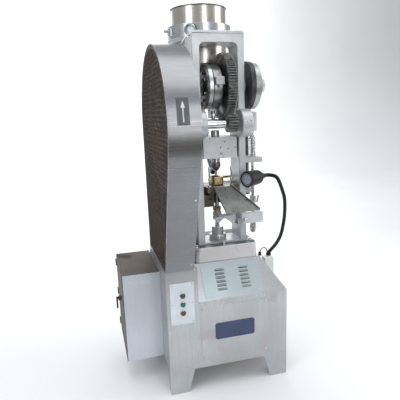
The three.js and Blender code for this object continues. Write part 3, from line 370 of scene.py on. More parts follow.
brass = look(
    "worn_brass", (0.52, 0.40, 0.21), (0.34, 0.26, 0.14), (0.26, 0.42), 1.0, 46.0,
    grain=460.0, grain_depth=0.08, stain=((0.16, 0.11, 0.05), 70.0, 0.45), wear=(0.95, 0.82, 0.5),
)
mesh_paint = look(
    "expanded_mesh", (0.028, 0.027, 0.027), (0.085, 0.043, 0.028), (0.5, 0.65), 0.3, 5.0,
    grain=500.0, grain_depth=0.1, wear=(0.14, 0.13, 0.125), gloss=0.25,
)
belt_rubber = look(
    "belt_rubber", (0.16, 0.075, 0.05), (0.10, 0.055, 0.04), (0.6, 0.8), 0.0, 14.0,
    grain=700.0, grain_depth=0.3, stain=((0.27, 0.20, 0.16), 30.0, 0.4),
)
wheel_iron = look(
    "wheel_iron", (0.22, 0.17, 0.14), (0.14, 0.12, 0.11), (0.4, 0.6), 0.6, 10.0,
    grain=320.0, grain_depth=0.35, stain=((0.30, 0.14, 0.08), 16.0, 0.42), wear=(0.5, 0.5, 0.5),
)
motor_paint = look(
    "motor_paint", (0.10, 0.19, 0.24), (0.075, 0.14, 0.18), (0.4, 0.55), 0.1, 12.0,
    grain=360.0, grain_depth=0.3, wear=(0.5, 0.52, 0.54), coat=0.2,
)
black_plastic = look(
    "black_plastic", (0.012, 0.014, 0.016), (0.018, 0.02, 0.023), (0.36, 0.48), 0.0, 24.0,
    grain=900.0, grain_depth=0.08, wear=(0.05, 0.055, 0.06), gloss=0.22,
)
neck_vinyl = look(
    "neck_vinyl", (0.010, 0.012, 0.011), (0.018, 0.02, 0.019), (0.3, 0.42), 0.0, 30.0,
    grain=700.0, grain_depth=0.06, gloss=0.3,
)
nut_steel = look(
    "nut_steel", (0.62, 0.63, 0.63), (0.50, 0.51, 0.51), (0.26, 0.38), 0.85, 20.0,
    ALONG_X, 0.02, stain=((0.26, 0.26, 0.24), 44.0, 0.36), wear=(0.85, 0.85, 0.85),
)
# painted shade: a dark blue-grey colour for the thin plate that darkens the plinth's top; it stands for shade,
# not a real gasket
plinth_shade_paint = look(
    "plinth_shade_paint", (0.13, 0.155, 0.18), (0.10, 0.12, 0.14), (0.4, 0.55), 0.4, 20.0,
    grain=420.0, grain_depth=0.08, stain=((0.3, 0.3, 0.29), 50.0, 0.35), wear=(0.4, 0.42, 0.44),
)
panel_paint = look(
    "panel_white", (0.70, 0.75, 0.79), (0.63, 0.68, 0.72), (0.3, 0.42), 0.1, 10.0,
    grain=500.0, grain_depth=0.1, stain=((0.48, 0.52, 0.54), 30.0, 0.33), wear=(0.5, 0.53, 0.55), coat=0.15,
)
plate_enamel = look(
    "plate_enamel", (0.03, 0.05, 0.13), (0.024, 0.04, 0.10), (0.2, 0.3), 0.1, 10.0,
    grain=500.0, grain_depth=0.05, wear=(0.3, 0.32, 0.38), coat=0.3,
)
plate_steel = look(
    "arrow_plate", (0.105, 0.125, 0.14), (0.085, 0.10, 0.115), (0.34, 0.46), 0.2, 20.0,
    grain=500.0, grain_depth=0.04, wear=(0.3, 0.32, 0.33), gloss=0.35,
)
arrow_white = look(
    "arrow_white", (0.70, 0.73, 0.76), (0.62, 0.65, 0.67), (0.4, 0.5), 0.0, 30.0, grain_depth=0.05,
)
socket_paint = look(
    "socket_paint", (0.76, 0.80, 0.78), (0.68, 0.72, 0.70), (0.35, 0.5), 0.05, 14.0,
    grain=400.0, grain_depth=0.15, wear=(0.5, 0.52, 0.52),
)
red_paint = look(
    "red_dab", (0.55, 0.05, 0.03), (0.42, 0.035, 0.025), (0.35, 0.5), 0.0, 60.0, grain_depth=0.2,
)
lens_ring = look(
    "lens_ring", (0.30, 0.33, 0.36), (0.24, 0.27, 0.30), (0.3, 0.4), 0.4, 40.0, grain_depth=0.05,
)
lens_white = look("lens_white", (0.72, 0.79, 0.83), (0.62, 0.70, 0.75), (0.2, 0.3), 0.0, 90.0, coat=0.4)
led_blue = look("led_blue", (0.10, 0.24, 0.30), (0.07, 0.18, 0.24), (0.15, 0.25), 0.0, 90.0, coat=0.5)
grease = look(
    "grease", (0.72, 0.73, 0.72), (0.6, 0.6, 0.58), (0.3, 0.45), 0.0, 90.0, grain=800.0,
    grain_depth=0.4,
)
button_looks = {
    "upper": look(
        "button_dark", (0.035, 0.06, 0.055), (0.025, 0.045, 0.04), (0.18, 0.28), 0.0, 40.0,
        coat=0.3,
    ),
    "middle": look(
        "button_green", (0.01, 0.14, 0.095), (0.008, 0.11, 0.075), (0.18, 0.28), 0.0, 40.0,
        coat=0.3,
    ),
    "lower": look("button_red", (0.12, 0.035, 0.02), (0.09, 0.03, 0.02), (0.18, 0.28), 0.0, 40.0, coat=0.3),
}
floor_look = look(
    "pale_floor", (0.86, 0.86, 0.86), (0.83, 0.83, 0.835), (0.55, 0.65), 0.0, 0.8, grain_depth=0.02,
)


def add_floor():
    """A pale floor that curves up into a backdrop behind the press."""
    width, reach, height, bend = 14.0, 7.0, 5.0, 2.5
    line = [(-1.7, 0.0), (reach - bend, 0.0)]
    for step in range(1, 13):
        angle = math.pi / 2 * step / 12
        line.append((reach - bend + bend * math.sin(angle), bend - bend * math.cos(angle)))
    line.append((reach, height))
    points = [(side * width / 2, y, z) for y, z in line for side in (-1, 1)]
    faces = [(2 * i, 2 * i + 1, 2 * i + 3, 2 * i + 2) for i in range(len(line) - 1)]
    data = bpy.data.meshes.new("floor")
    data.from_pydata(points, [], faces)
    floor = bpy.data.objects.new("floor", data)
    bpy.context.scene.collection.objects.link(floor)
    for polygon in data.polygons:
        polygon.use_smooth = True
    data.materials.append(floor_look)


add_floor()

# ---------- solids ----------
PUT = {
    "x": lambda u, v, w: (w, u, v),
    "y": lambda u, v, w: (u, w, v),
    "z": lambda u, v, w: (u, v, w),
}


def reshape(obj, change):
    """Runs change on the object's mesh as a bmesh."""
    work = bmesh.new()
    work.from_mesh(obj.data)
    change(work)
    work.to_mesh(obj.data)
    work.free()
    return obj


def outward(obj):
    return reshape(obj, lambda work: bmesh.ops.recalc_face_normals(work, faces=work.faces))


def mesh(points, faces):
    data = bpy.data.meshes.new("solid")
    data.from_pydata([CORNER + Vector(point) * MM for point in points], [], faces)
    made = bpy.data.objects.new("solid", data)
    bpy.context.scene.collection.objects.link(made)
    return outward(made)


def prism(axis, outline, low, high):
    """An outline pushed along an axis. It is in (Y, Z) for x, (X, Z) for y and (X, Y) for z."""
    put = PUT[axis]
    n = len(outline)
    points = [put(u, v, low) for u, v in outline] + [put(u, v, high) for u, v in outline]
    sides = [(i, (i + 1) % n, n + (i + 1) % n, n + i) for i in range(n)]
    return mesh(points, [range(n), range(n, 2 * n)] + sides)


def box(x0, x1, y0, y1, z0, z1):
    return prism("z", [(x0, y0), (x1, y0), (x1, y1), (x0, y1)], z0, z1)


def turned(axis, profile, centre=(0, 0), steps=96):
    """A turned solid. The profile is (radius, place along the axis); it starts and ends on the
    axis or closes on itself."""
    put = PUT[axis]
    closed = profile[0] == profile[-1]
    rows = profile[:-1] if closed else profile
    points = []
    rings = []
    for radius, along in rows:
        first = len(points)
        if radius < 1e-6:
            points.append(put(centre[0], centre[1], along))
            rings.append([first] * steps)
            continue
        for k in range(steps):
            angle = 2 * math.pi * k / steps
            u, v = centre[0] + radius * math.cos(angle), centre[1] + radius * math.sin(angle)
            points.append(put(u, v, along))
        rings.append(list(range(first, first + steps)))
    faces = []
    for lower, upper in zip(rings, rings[1:] + (rings[:1] if closed else [])):
        for k in range(steps):
            n = (k + 1) % steps
            face = list(dict.fromkeys((lower[k], lower[n], upper[n], upper[k])))
            if len(face) > 2:
                faces.append(face)
    return mesh(points, faces)


def bar(axis, low, high, radius, centre=(0, 0), ease=0.0, steps=64):
    """A round bar with its two rims eased."""
    rims = [(radius - ease, low), (radius, low + ease), (radius, high - ease), (radius - ease, high)]
    profile = rims if ease else [(radius, low), (radius, high)]
    return turned(axis, [(0, low), *profile, (0, high)], centre, steps)


def washer(axis, low, high, inner, outer, centre=(0, 0), ease=0.6, steps=96):
    """A ring of rectangular section with its outer rims eased."""
    profile = [
        (inner, low),
        (outer - ease, low),
        (outer, low + ease),
        (outer, high - ease),
        (outer - ease, high),
        (inner, high),
        (inner, low),
    ]
    return turned(axis, profile, centre, steps)


def hexagon(axis, low, high, radius, centre, ease=1.0):
    """A hexagon head or nut with its corners turned down."""
    outline = [
        (
            centre[0] + radius * math.cos(math.pi / 3 * k),
            centre[1] + radius * math.sin(math.pi / 3 * k),
        )
        for k in range(6)
    ]
    return bevel(prism(axis, outline, low, high), ease, 2)


def settle(obj):
    """Applies the object's modifiers."""
    graph = bpy.context.evaluated_depsgraph_get()
    data = bpy.data.meshes.new_from_object(obj.evaluated_get(graph))
    obj.modifiers.clear()
    obj.data = data
    return obj


def bevel(obj, width, segments=3, limit=30):
    if width:
        modifier = obj.modifiers.new("bevel", "BEVEL")
        modifier.width = width * MM
        modifier.segments = segments
        modifier.limit_method = "ANGLE"
        modifier.angle_limit = math.radians(limit)
        settle(obj)
    return obj


def combine(obj, tools, operation):
    for tool in tools:
        modifier = obj.modifiers.new("boolean", "BOOLEAN")
        modifier.object = tool
        modifier.operation = operation
        modifier.solver = "EXACT"
        settle(obj)
        bpy.data.objects.remove(tool)
    return obj


def cut(obj, *tools):
    return combine(obj, tools, "DIFFERENCE")


def fuse(obj, *tools):
    return combine(obj, tools, "UNION")


def merge(first, *others):
    """Several closed solids in one mesh."""
    work = bmesh.new()
    for obj in (first, *others):
        work.from_mesh(obj.data)
    work.to_mesh(first.data)
    work.free()
    for obj in others:
        bpy.data.objects.remove(obj)
    return first


def piece(obj, name, body, surface, replaces=(), edge=0.0, limit=35):
    """Finishes a solid as a named piece that rides on a body."""
    bevel(obj, edge)
    obj.name = name
    obj.data.name = name
    for polygon in obj.data.polygons:
        polygon.use_smooth = True

    def mark(work):
        for line in work.edges:
            line.smooth = line.calc_face_angle(0.0) < math.radians(limit)

    reshape(obj, mark)
    even = obj.modifiers.new("even", "WEIGHTED_NORMAL")
    even.keep_sharp = True
    settle(obj)
    obj.data.materials.clear()
    obj.data.materials.append(surface)
    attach(obj, body)
    if replaces:
        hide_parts(*replaces)
    return obj


def softened(node, body, surface, edge, segments=3):
    """A CAD node's own shape with its edges rounded."""
    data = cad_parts[node].data.copy()
    made = bpy.data.objects.new(node + "_body", data)
    bpy.context.scene.collection.objects.link(made)

    def clean(work):
        bmesh.ops.remove_doubles(work, verts=work.verts, dist=1e-6)
        bmesh.ops.dissolve_limit(work, angle_limit=math.radians(0.6), verts=work.verts, edges=work.edges)

    reshape(made, clean)
    bevel(made, edge, segments)
    return piece(made, node + "_body", body, surface, [node])


def rounded(u0, u1, v0, v1, corner, steps=8):
    """A rectangle with round corners, as an outline."""
    points = []
    corners = [
        (u1 - corner, v0 + corner, -90), (u1 - corner, v1 - corner, 0),
        (u0 + corner, v1 - corner, 90),
    ]
    for u, v, start in corners + [(u0 + corner, v0 + corner, 180)]:
        for k in range(steps + 1):
            angle = math.radians(start + 90 * k / steps)
            points.append((u + corner * math.cos(angle), v + corner * math.sin(angle)))
    return points


def dome(axis, surface_at, radius, centre, toward=-1, steps=24):
    """A pan-headed screw that stands on a surface and points along the axis."""
    rise = radius * 0.55
    profile = [(0, surface_at - toward * 1.0), (radius, surface_at - toward * 1.0)]
    for k in range(6):
        angle = math.pi / 2 * k / 5
        profile.append((radius * math.cos(angle), surface_at + toward * rise * math.sin(angle)))
    profile[-1] = (0, profile[-1][1])
    return turned(axis, profile, centre, steps)


def sweep(route, section):
    """A closed solid along a list of points. section(i) gives the outline's (u, v) at point i."""
    points = [Vector(p) for p in route]
    normal = None
    rings = []
    out = []
    for i, point in enumerate(points):
        ahead = points[min(i + 1, len(points) - 1)] - points[max(i - 1, 0)]
        ahead.normalize()
        if normal is None:
            normal = ahead.orthogonal().normalized()
        normal = (normal - ahead * normal.dot(ahead)).normalized()
        side = ahead.cross(normal)
        ring = []
        for u, v in section(i):
            ring.append(len(out))
            out.append(point + normal * u + side * v)
        rings.append(ring)
    n = len(rings[0])
    faces = [rings[0], rings[-1]]
    for lower, upper in zip(rings, rings[1:]):
        faces += [(lower[k], lower[(k + 1) % n], upper[(k + 1) % n], upper[k]) for k in range(n)]
    return mesh(out, faces)


def spline(knots, per_stretch):
    """Points on a smooth curve through the knots."""
    ends = [2 * Vector(knots[0]) - Vector(knots[1]), 2 * Vector(knots[-1]) - Vector(knots[-2])]
    line = [ends[0], *map(Vector, knots), ends[1]]
    points = []
    for i in range(1, len(line) - 2):
        p0, p1, p2, p3 = line[i - 1 : i + 3]
        for k in range(per_stretch):
            t = k / per_stretch
            first = 2 * p1 + (p2 - p0) * t
            second = (2 * p0 - 5 * p1 + 4 * p2 - p3) * t**2
            third = (3 * p1 - p0 - 3 * p2 + p3) * t**3
            points.append((first + second + third) * 0.5)
    points.append(line[-2])
    return points


def circle(radius, sides):
    turns = [2 * math.pi * k / sides for k in range(sides)]
    return [(radius * math.cos(turn), radius * math.sin(turn)) for turn in turns]


# ---------- cabinet ----------
def cabinet():
    softened("cabinet_shell", "machine", sheet, 2.0)
    softened("front_panel", "machine", sheet, 0.6)
    softened("blank_nameplate", "machine", plate_enamel, 1.0)
    softened("console_cover", "machine", cover_steel, 0.5)
    width = span("cabinet_shell")[0][1]
    bottom = 117
    left_leg = [(0.4, 0.4), (88, 0.4), (121, bottom + 4), (121, bottom + 11), (0.4, bottom + 11)]
    right_leg = [(width - x, z) for x, z in left_leg]
    plates = merge(prism("y", left_leg, -1.0, 0.6), prism("y", right_leg, -1.0, 0.6))
    piece(plates, "leg_plates", "machine", sheet, edge=0.4)
    low_panel = span("front_panel")
    screws = []
    for x in (low_panel[0][0] + 12, low_panel[0][1] - 12):
        for z in (low_panel[2][0] + 12, low_panel[2][1] - 12):
            screws.append(dome("y", low_panel[1][0], 5.6, (x, z)))
    piece(merge(*screws), "panel_screws", "machine", ground_steel)


def controls():
    (x0, x1), _, (z0, z1) = span("button_panel")
    heights = {place: middle(f"{place}_button")[2] for place in button_looks}
    column = middle("upper_button")[0]
    plate = bevel(prism("y", rounded(x0, x1, z0, z1, 6), -4.3, -0.3), 0.9, 3)
    label = bevel(prism("y", rounded(column - 32, column + 32, 398, 526, 4), -5.0, -4.0), 0.3, 2)
    for sheet_part in (plate, label):
        cut(sheet_part, *[bar("y", -20, 5, 11.6, (column, z)) for z in heights.values()])
    piece(merge(plate, label), "control_plate", "machine", panel_paint, ["button_panel"])
    bezel = [
        (11.6, -4.6), (14.5, -4.6), (14.5, -8.0), (13.4, -11.4), (12.2, -12.0), (11.6, -11.6),
        (11.6, -4.6),
    ]
    rings = [turned("y", bezel, (column, z), 64) for z in heights.values()]
    piece(merge(*rings), "button_bezels", "machine", ground_steel)
    for place, z in heights.items():
        profile = [(0, 5.5), (11, 5.5), (11, -14.6), (10.2, -16.2), (8.0, -16.9), (0, -15.4)]
        button = turned("y", profile, (column, z), 64)
        body = f"{place}_button"
        piece(button, f"{place}_button_cap", body, button_looks[place], [body])
    screws = [
        dome("y", -4.3, 3.6, (x, z)) for x in (x0 + 9, x1 - 9) for z in (
            z0 + 9, middle("button_panel")[2], z1 - 9,
        )
    ]
    piece(merge(*screws), "control_screws", "machine", ground_steel)


cabinet()
controls()


# ---------- motor box ----------
def motor_box():
    softened("motor_box", "machine", box_steel, 1.6)
    softened("motor_box_door", "motor_box_door", door_steel, 0.7)
    softened("door_latch", "door_latch", dark_iron, 1.2)
    (x0, x1), (y0, y1), (_, top) = span("motor_box")
    lid = bevel(box(x0 + 0.4, x1 - 1, y0 + 0.4, y1 - 0.4, top - 0.4, top + 1.0), 0.5, 2)
    piece(lid, "motor_box_lid", "machine", door_steel)
    y, z = MOTOR
    shell = [
        (0, -169), (58, -169), (66, -164), (68, -150), (73, -148), (73, -46), (66, -36), (50, -30),
        (30, -30), (0, -30),
    ]
    motor = cut(turned("x", shell, MOTOR, 96), bar("x", -70, -20, 12.6, MOTOR))
    fins = [washer("x", -142 + 12 * k, -138.5 + 12 * k, 60, 80, MOTOR) for k in range(8)]
    feet = [
        box(-140, -60, y - 60, y + 60, z - 92, z - 60),
        box(-128, -72, y - 30, y + 30, z + 60, z + 102),
        box(-160, -0.3, y - 75, y + 75, z - 98, z - 90),
        box(-8, -0.3, y - 75, y + 75, z - 160, z - 95),
        prism("y", [(-150, 264), (-5, 205), (-5, 264)], y - 4, y + 4),
    ]
    body = merge(motor, *fins, *[bevel(foot, 1.5, 2) for foot in feet])
    piece(body, "motor_body", "machine", motor_paint, ["motor_stator"])
    grooves = [(0, -68), (11.4, -68), (12, -67), (12, 30), (54, 30), (54, 34)]
    for at in BELT_LEFTS:
        grooves += [(54, at - 1), (46, at + 3), (46, at + 15), (54, at + 19)]
    grooves += [(54, 96), (16, 96), (14, 98), (14, 104), (0, 104)]
    piece(
        turned("x", grooves, MOTOR), "pulley_wheel", "motor_rotor", wheel_iron,
        ["motor_pulley"],
    )


motor_box()

# ---------- belt guard ----------
GUARD_R = 349
GUARD_WIDTH = span("guard_band")[0][1]
GUARD_FEET = (-5, 455)
GUARD_LOW = span("guard_band")[2][0]


def guard_outline(inset, steps=72):
    """The guard's outline in (Y, Z): an arc about the pinion shaft and two straight sides."""
    radius = GUARD_R - inset
    low = GUARD_LOW - PINION[1]
    front = GUARD_FEET[0] - PINION[0] + inset
    back = GUARD_FEET[1] - PINION[0] - inset

    def tangent(y, side):
        return math.atan2(low, y) + side * math.acos(radius / math.hypot(y, low))

    start = tangent(back, 1)
    end = tangent(front, -1) + 2 * math.pi
    points = [(PINION[0] + front, GUARD_LOW), (PINION[0] + back, GUARD_LOW)]
    for k in range(steps + 1):
        angle = start + (end - start) * k / steps
        points.append((PINION[0] + radius * math.cos(angle), PINION[1] + radius * math.sin(angle)))
    return points


def front_at(z, inset=0.0):
    """Y of the guard's straight front at a height."""
    outline = guard_outline(inset)
    (y0, z0), (y1, z1) = outline[0], outline[-1]
    return y0 + (y1 - y0) * (z - z0) / (z1 - z0)


def band(outer, inner, x0, x1):
    """A strip of sheet between two insets of the guard's outline, open at the bottom."""
    strip = prism("x", guard_outline(outer), x0, x1)
    tool = prism("x", guard_outline(inner), x0 - 5, x1 + 5)
    low = box(x0 - 5, x1 + 5, GUARD_FEET[0] + 4, GUARD_FEET[1] - 4, GUARD_LOW - 5, GUARD_LOW + 4)
    return cut(strip, tool, low)


def clipped(point, slope, outline):
    """The two ends of a straight line in the (Y, Z) plane where it crosses a convex outline."""
    hits = []
    n = len(outline)
    for k in range(n):
        (y0, z0), (y1, z1) = outline[k], outline[(k + 1) % n]
        across = (y1 - y0) * slope[1] - (z1 - z0) * slope[0]
        if abs(across) < 1e-9:
            continue
        share = ((point[0] - y0) * slope[1] - (point[1] - z0) * slope[0]) / across
        if 0 <= share < 1:
            hits.append((y0 + (y1 - y0) * share, z0 + (z1 - z0) * share))
    return hits if len(hits) == 2 else None


def strand(start, end, x, width, thick):
    """A flat strip of metal between two points of the (Y, Z) plane."""
    along = Vector((end[0] - start[0], end[1] - start[1])).normalized()
    side = Vector((-along[1], along[0])) * width / 2
    corners = [Vector(start) + side, Vector(end) + side, Vector(end) - side, Vector(start) - side]
    points = [(x, *c) for c in corners] + [(x + thick, *c) for c in corners]
    sides = [(k, (k + 1) % 4, 4 + (k + 1) % 4, 4 + k) for k in range(4)]
    return points, [(0, 1, 2, 3), (4, 5, 6, 7), *sides]


def expanded_mesh():
    """Two crossing families of strands that fill the guard's left side, in one mesh."""
    outline = guard_outline(14, 40)
    pitch = 15.0
    points, faces = [], []
    for lean, x in ((1, 1.2), (-1, 2.2)):
        slope = Vector((lean * 0.42, 1)).normalized()
        normal = Vector((slope[1], -slope[0]))
        for k in range(-60, 61):
            centre = Vector((PINION[0], 1100)) + normal * (k * pitch)
            ends = clipped(centre, slope, outline)
            if not ends:
                continue
            made, quads = strand(ends[0], ends[1], x, 2.6, 1.1)
            faces += [[len(points) + i for i in quad] for quad in quads]
            points += made
    return mesh(points, faces)


def guard():
    shell = bevel(band(0, 2.5, 0, GUARD_WIDTH), 0.5, 2, 50)
    lips = [
        box(6, GUARD_WIDTH - 8, GUARD_FEET[0] + 0.5, GUARD_FEET[0] + 14, GUARD_LOW, GUARD_LOW + 2.5),
        box(6, GUARD_WIDTH - 8, GUARD_FEET[1] - 14, GUARD_FEET[1] - 0.5, GUARD_LOW, GUARD_LOW + 2.5),
    ]
    piece(merge(shell, *lips), "guard_strip", "machine", band_steel, ["guard_band"])
    seam = 1117
    lower = [
        (front_at(GUARD_LOW) - 0.2, GUARD_LOW),
        (front_at(seam) - 0.2, seam),
        (front_at(seam) - 1.5, seam),
        (front_at(GUARD_LOW) - 1.5, GUARD_LOW),
    ]
    piece(
        prism("x", lower, 0.3, GUARD_WIDTH - 0.3), "guard_lower_sheet", "machine", band_steel,
        edge=0.3,
    )
    border = band(4.2, 20, 1.0, 3.4)
    piece(
        merge(expanded_mesh(), border), "guard_mesh", "machine", mesh_paint,
        ["guard_grille"],
    )
    softened("guard_back_plate", "machine", band_steel, 0.4, 2)
    screws = [dome("y", front_at(z) - 1.4, 4.6, (118, z)) for z in (975, 655)]
    piece(merge(*screws), "guard_screws", "machine", ground_steel)
    left, right, low, high = 37, 86, 1283, 1386  # the arrow plate's X and Z
    plate = wrapped([(low, left, right), (high, left, right)], -1, 1.1)
    piece(plate, "arrow_plate", "machine", plate_steel)
    x = (left + right) / 2
    neck = high - 38
    stem = wrapped([(low + 12, x - 2.5, x + 2.5), (neck, x - 2.5, x + 2.5)], 0.6, 1.7)
    head = wrapped([(neck, x - 8.5, x + 8.5), (high - 12, x - 0.4, x + 0.4)], 0.6, 1.7)
    piece(merge(stem, head), "turning_arrow", "machine", arrow_white)


def wrapped(rows, low, high, steps=16):
    """A thin solid on the guard's foremost arc. Each row is (Z, left X, right X); low and high are
    its back and front, measured outwards from the arc."""
    points = []
    for k in range(steps + 1):
        share = k / steps
        z, left, right = (a + (b - a) * share for a, b in zip(*rows))
        for out in (low, high):
            y = PINION[0] - math.sqrt((GUARD_R + out) ** 2 - (z - PINION[1]) ** 2)
            points += [(left, y, z), (right, y, z)]
    ring = [0, 1, 3, 2]
    faces = [ring, [4 * steps + k for k in ring]]
    for row in range(steps):
        for a, b in zip(ring, ring[1:] + ring[:1]):
            faces.append([4 * row + a, 4 * row + b, 4 * row + 4 + b, 4 * row + 4 + a])
    return mesh(points, faces)


guard()


# ---------- belts and flywheel ----------
def belt_outline(extra, wheel=292, pulley=50):
    """The belts' run round the flywheel and the motor pulley, in (Y, Z)."""
    big, small = wheel + extra, pulley + extra
    dy, dz = MOTOR[0] - PINION[0], MOTOR[1] - PINION[1]
    towards = math.atan2(dz, dy)
    spread = math.acos((big - small) / math.hypot(dy, dz))
    points = []
    for centre, radius, first, last, steps in (
        (PINION, big, towards + spread, towards + 2 * math.pi - spread, 72),
        (MOTOR, small, towards - spread, towards + spread, 24),
    ):
        for k in range(steps + 1):
            angle = first + (last - first) * k / steps
            points.append((centre[0] + radius * math.cos(angle), centre[1] + radius * math.sin(angle)))
    return points


def drive():
    for place, x in zip(("left", "right"), BELT_LEFTS):
        loop = cut(
            prism("x", belt_outline(12.5), x, x + BELT_WIDTH),
            prism("x", belt_outline(1.5), x - 5, x + 23),
        )
        piece(
            loop, f"{place}_belt", "machine", belt_rubber, [f"{place}_drive_belt"],
            edge=1.6,
        )
    rim = [(262, 30), (290, 30), (292, 32)]
    for x in BELT_LEFTS:
        rim += [(292, x - 1), (285, x + 3), (285, x + 15), (292, x + 19)]
    rim += [
        (292, 96), (290, 98), (262, 98), (256, 74), (250, 72), (46, 72), (42, 76), (42, 104),
        (40, 106), (22.3, 106),
    ]
    rim += [(22.3, 22), (40, 22), (42, 24), (42, 52), (46, 56), (250, 56), (256, 54), (262, 30)]
    wheel = turned("x", rim, PINION, 128)
    holes = []
    for k in range(5):
        angle = 2 * math.pi * k / 5
        holes.append(
            bar("x", 45, 85, 62, (PINION[0] + 150 * math.cos(angle), PINION[1] + 150 * math.sin(angle)))
        )
    piece(cut(wheel, *holes), "flywheel_casting", "pinion_shaft", wheel_iron, ["flywheel"])
    steps = [(0, 12), (21, 12), (22, 13), (22, 337), (21.4, 339), (17, 345), (17, 456), (16, 457), (0, 457)]
    piece(
        turned("x", steps, PINION), "drive_shaft", "pinion_shaft", shaft_steel,
        ["pinion_shaft"],
    )


drive()


# ---------- frame ----------
def arch():
    z0, z1 = span("press_frame")[2]
    lip = span("hopper_bracket")[2][1]
    x0, x1 = 197, 448
    y0, y1 = 145, 275
    window = (233, 414, 693, 1634)

    def outline(left, right, low, high, corner, steps=10):
        """Square at the foot, with round corners at the head."""
        arcs = [p for p in rounded(left, right, low, high, corner, steps) if p[1] > high - corner - 1]
        return [(left, low), (right, low), *arcs]

    body = prism("y", outline(x0, x1, z0, lip, 16), y0, y1)
    body = cut(body, box(x0 - 5, x1 + 5, 154.5, y1 + 5, z1, lip + 5))
    body = cut(body, prism("y", outline(*window, 24), y0 - 40, y1 + 40))
    body = bevel(body, 5.5, 4, 40)
    bosses = [
        bar("x", 405, 458, 65, PINION, 3, 96),
        bar("x", 443, 456, 46, SHAFT, 2, 96),
        bar("x", 140, 239, 65, PINION, 3, 96),
        bar("x", 182, 202, 46, SHAFT, 2, 96),
    ]
    body = fuse(body, *bosses)
    tools = [
        bar("x", 100, 600, 25.4, SHAFT),
        bar("x", 100, 300, 22.4, PINION),
        bar("x", 300, 500, 17.4, PINION),
        box(408, 453, 178, 222, 762, 838),
        bar("y", 100, 245, 8.4, LEVER),
        bar("y", 40, 62, 3.4, (424, PINION[1] + 6), steps=24),
        bar("y", 40, 62, 3.4, (441, PINION[1] + 10), steps=24),
    ]
    piece(cut(body, *tools), "frame_casting", "machine", frame_paint, ["press_frame"])
    (x0, x1), (y0, y1), (z0, z1) = span("plinth")
    foot = bevel(prism("z", rounded(x0, x1, y0, y1, 24, 12), z0, z1), 3.5, 4)
    piece(foot, "plinth_casting", "machine", plinth_paint, ["plinth"])
    # painted shade: a thin dark plate laid on the plinth's top to darken it, standing for the shade seen there
    # at a grazing angle
    shade_plate = bevel(prism("z", rounded(x0 + 5, x1 - 5, y0 + 5, y1 - 5, 20, 8), z1 - 0.5, z1 + 0.25), 0.1, 1)
    piece(shade_plate, "plinth_shade_plate", "machine", plinth_shade_paint)
    bolts = []
    for x, y in ((320, 124), (464, 150), (464, 262), (182, 124)):
        bolts += [
            bar("z", z1 - 1, z1 + 2.5, 12, (x, y), 0.5, 32),
            hexagon("z", z1 + 2, z1 + 11, 8.5, (x, y)),
        ]
    piece(merge(*bolts), "foot_bolts", "machine", ground_steel)
    softened("guide_block", "machine", block_paint, 2.2)
    softened("rod_bracket", "machine", bracket_paint, 2.0)
    softened("feeder_bearing", "machine", bracket_paint, 1.6)
    softened("lever_bracket", "machine", block_paint, 2.2)


arch()


# ---------- table, die, chute ----------
def table():
    softened("die_table", "machine", table_iron, 1.2, 2)
    low, high = span("die")[2]
    profile = [
        (6.5, low), (24, low), (25, low + 1), (25, high - 1), (24, high), (7.1, high),
        (6.5, high - 0.6), (6.5, low),
    ]
    piece(turned("z", profile, RAM), "die_ring", "machine", ground_steel, ["die"])
    softened("discharge_chute", "machine", chute_steel, 0.7, 2)
    studs = []
    for x in (255, 364):
        studs.append(bar("z", 974, 1068, 4.4, (x, 120), 0.5, 32))
        studs.append(hexagon("z", 975, 983, 8.6, (x, 120), 0.8))
        studs.append(hexagon("z", 1007, 1017, 8.2, (x, 120), 0.8))
        studs.append(turned("z", [(0, 1058), (6, 1058), (6, 1066), (4, 1072), (0, 1073)], (x, 120), 32))
    piece(merge(*studs), "table_studs", "machine", ground_steel)


table()


# ---------- main shaft ----------
def gear_outline(teeth, phase, centre):
    """Straight-flanked teeth on a true pitch circle, eased at their tips."""
    pitch = GEAR_MODULE * teeth / 2
    root, tip = pitch - 1.25 * GEAR_MODULE, pitch + GEAR_MODULE
    half_tooth = 0.42 * GEAR_MODULE * math.pi / 2
    lean = math.tan(math.radians(20))
    points = []
    for tooth in range(teeth):
        at = phase + tooth * 2 * math.pi / teeth
        for radius, side, ease in (
            (root, -1, 0),
            (tip - 0.7, -1, 0),
            (tip, -1, 0.7),
            (tip, 1, 0.7),
            (tip - 0.7, 1, 0),
            (root, 1, 0),
        ):
            half = (half_tooth - (radius - pitch) * lean - ease) / radius
            angle = at + side * half
            points.append((centre[0] + radius * math.cos(angle), centre[1] + radius * math.sin(angle)))
    return points


def cam_outline(base, lift, lobe, centre, half_width=0.6, steps=120):
    """A round plate cam with one smooth lobe."""
    points = []
    for k in range(steps):
        angle = k * 2 * math.pi / steps
        away = abs(math.atan2(math.sin(angle - lobe), math.cos(angle - lobe)))
        rise = lift * (1 + math.cos(away * math.pi / half_width)) / 2 if away < half_width else 0
        radius = base + rise
        points.append((centre[0] + radius * math.cos(angle), centre[1] + radius * math.sin(angle)))
    return points


def ring_of(count, radius, centre, turn=0.0):
    """Places evenly round a circle."""
    angles = [turn + 2 * math.pi * k / count for k in range(count)]
    return [(centre[0] + radius * math.cos(a), centre[1] + radius * math.sin(a)) for a in angles]


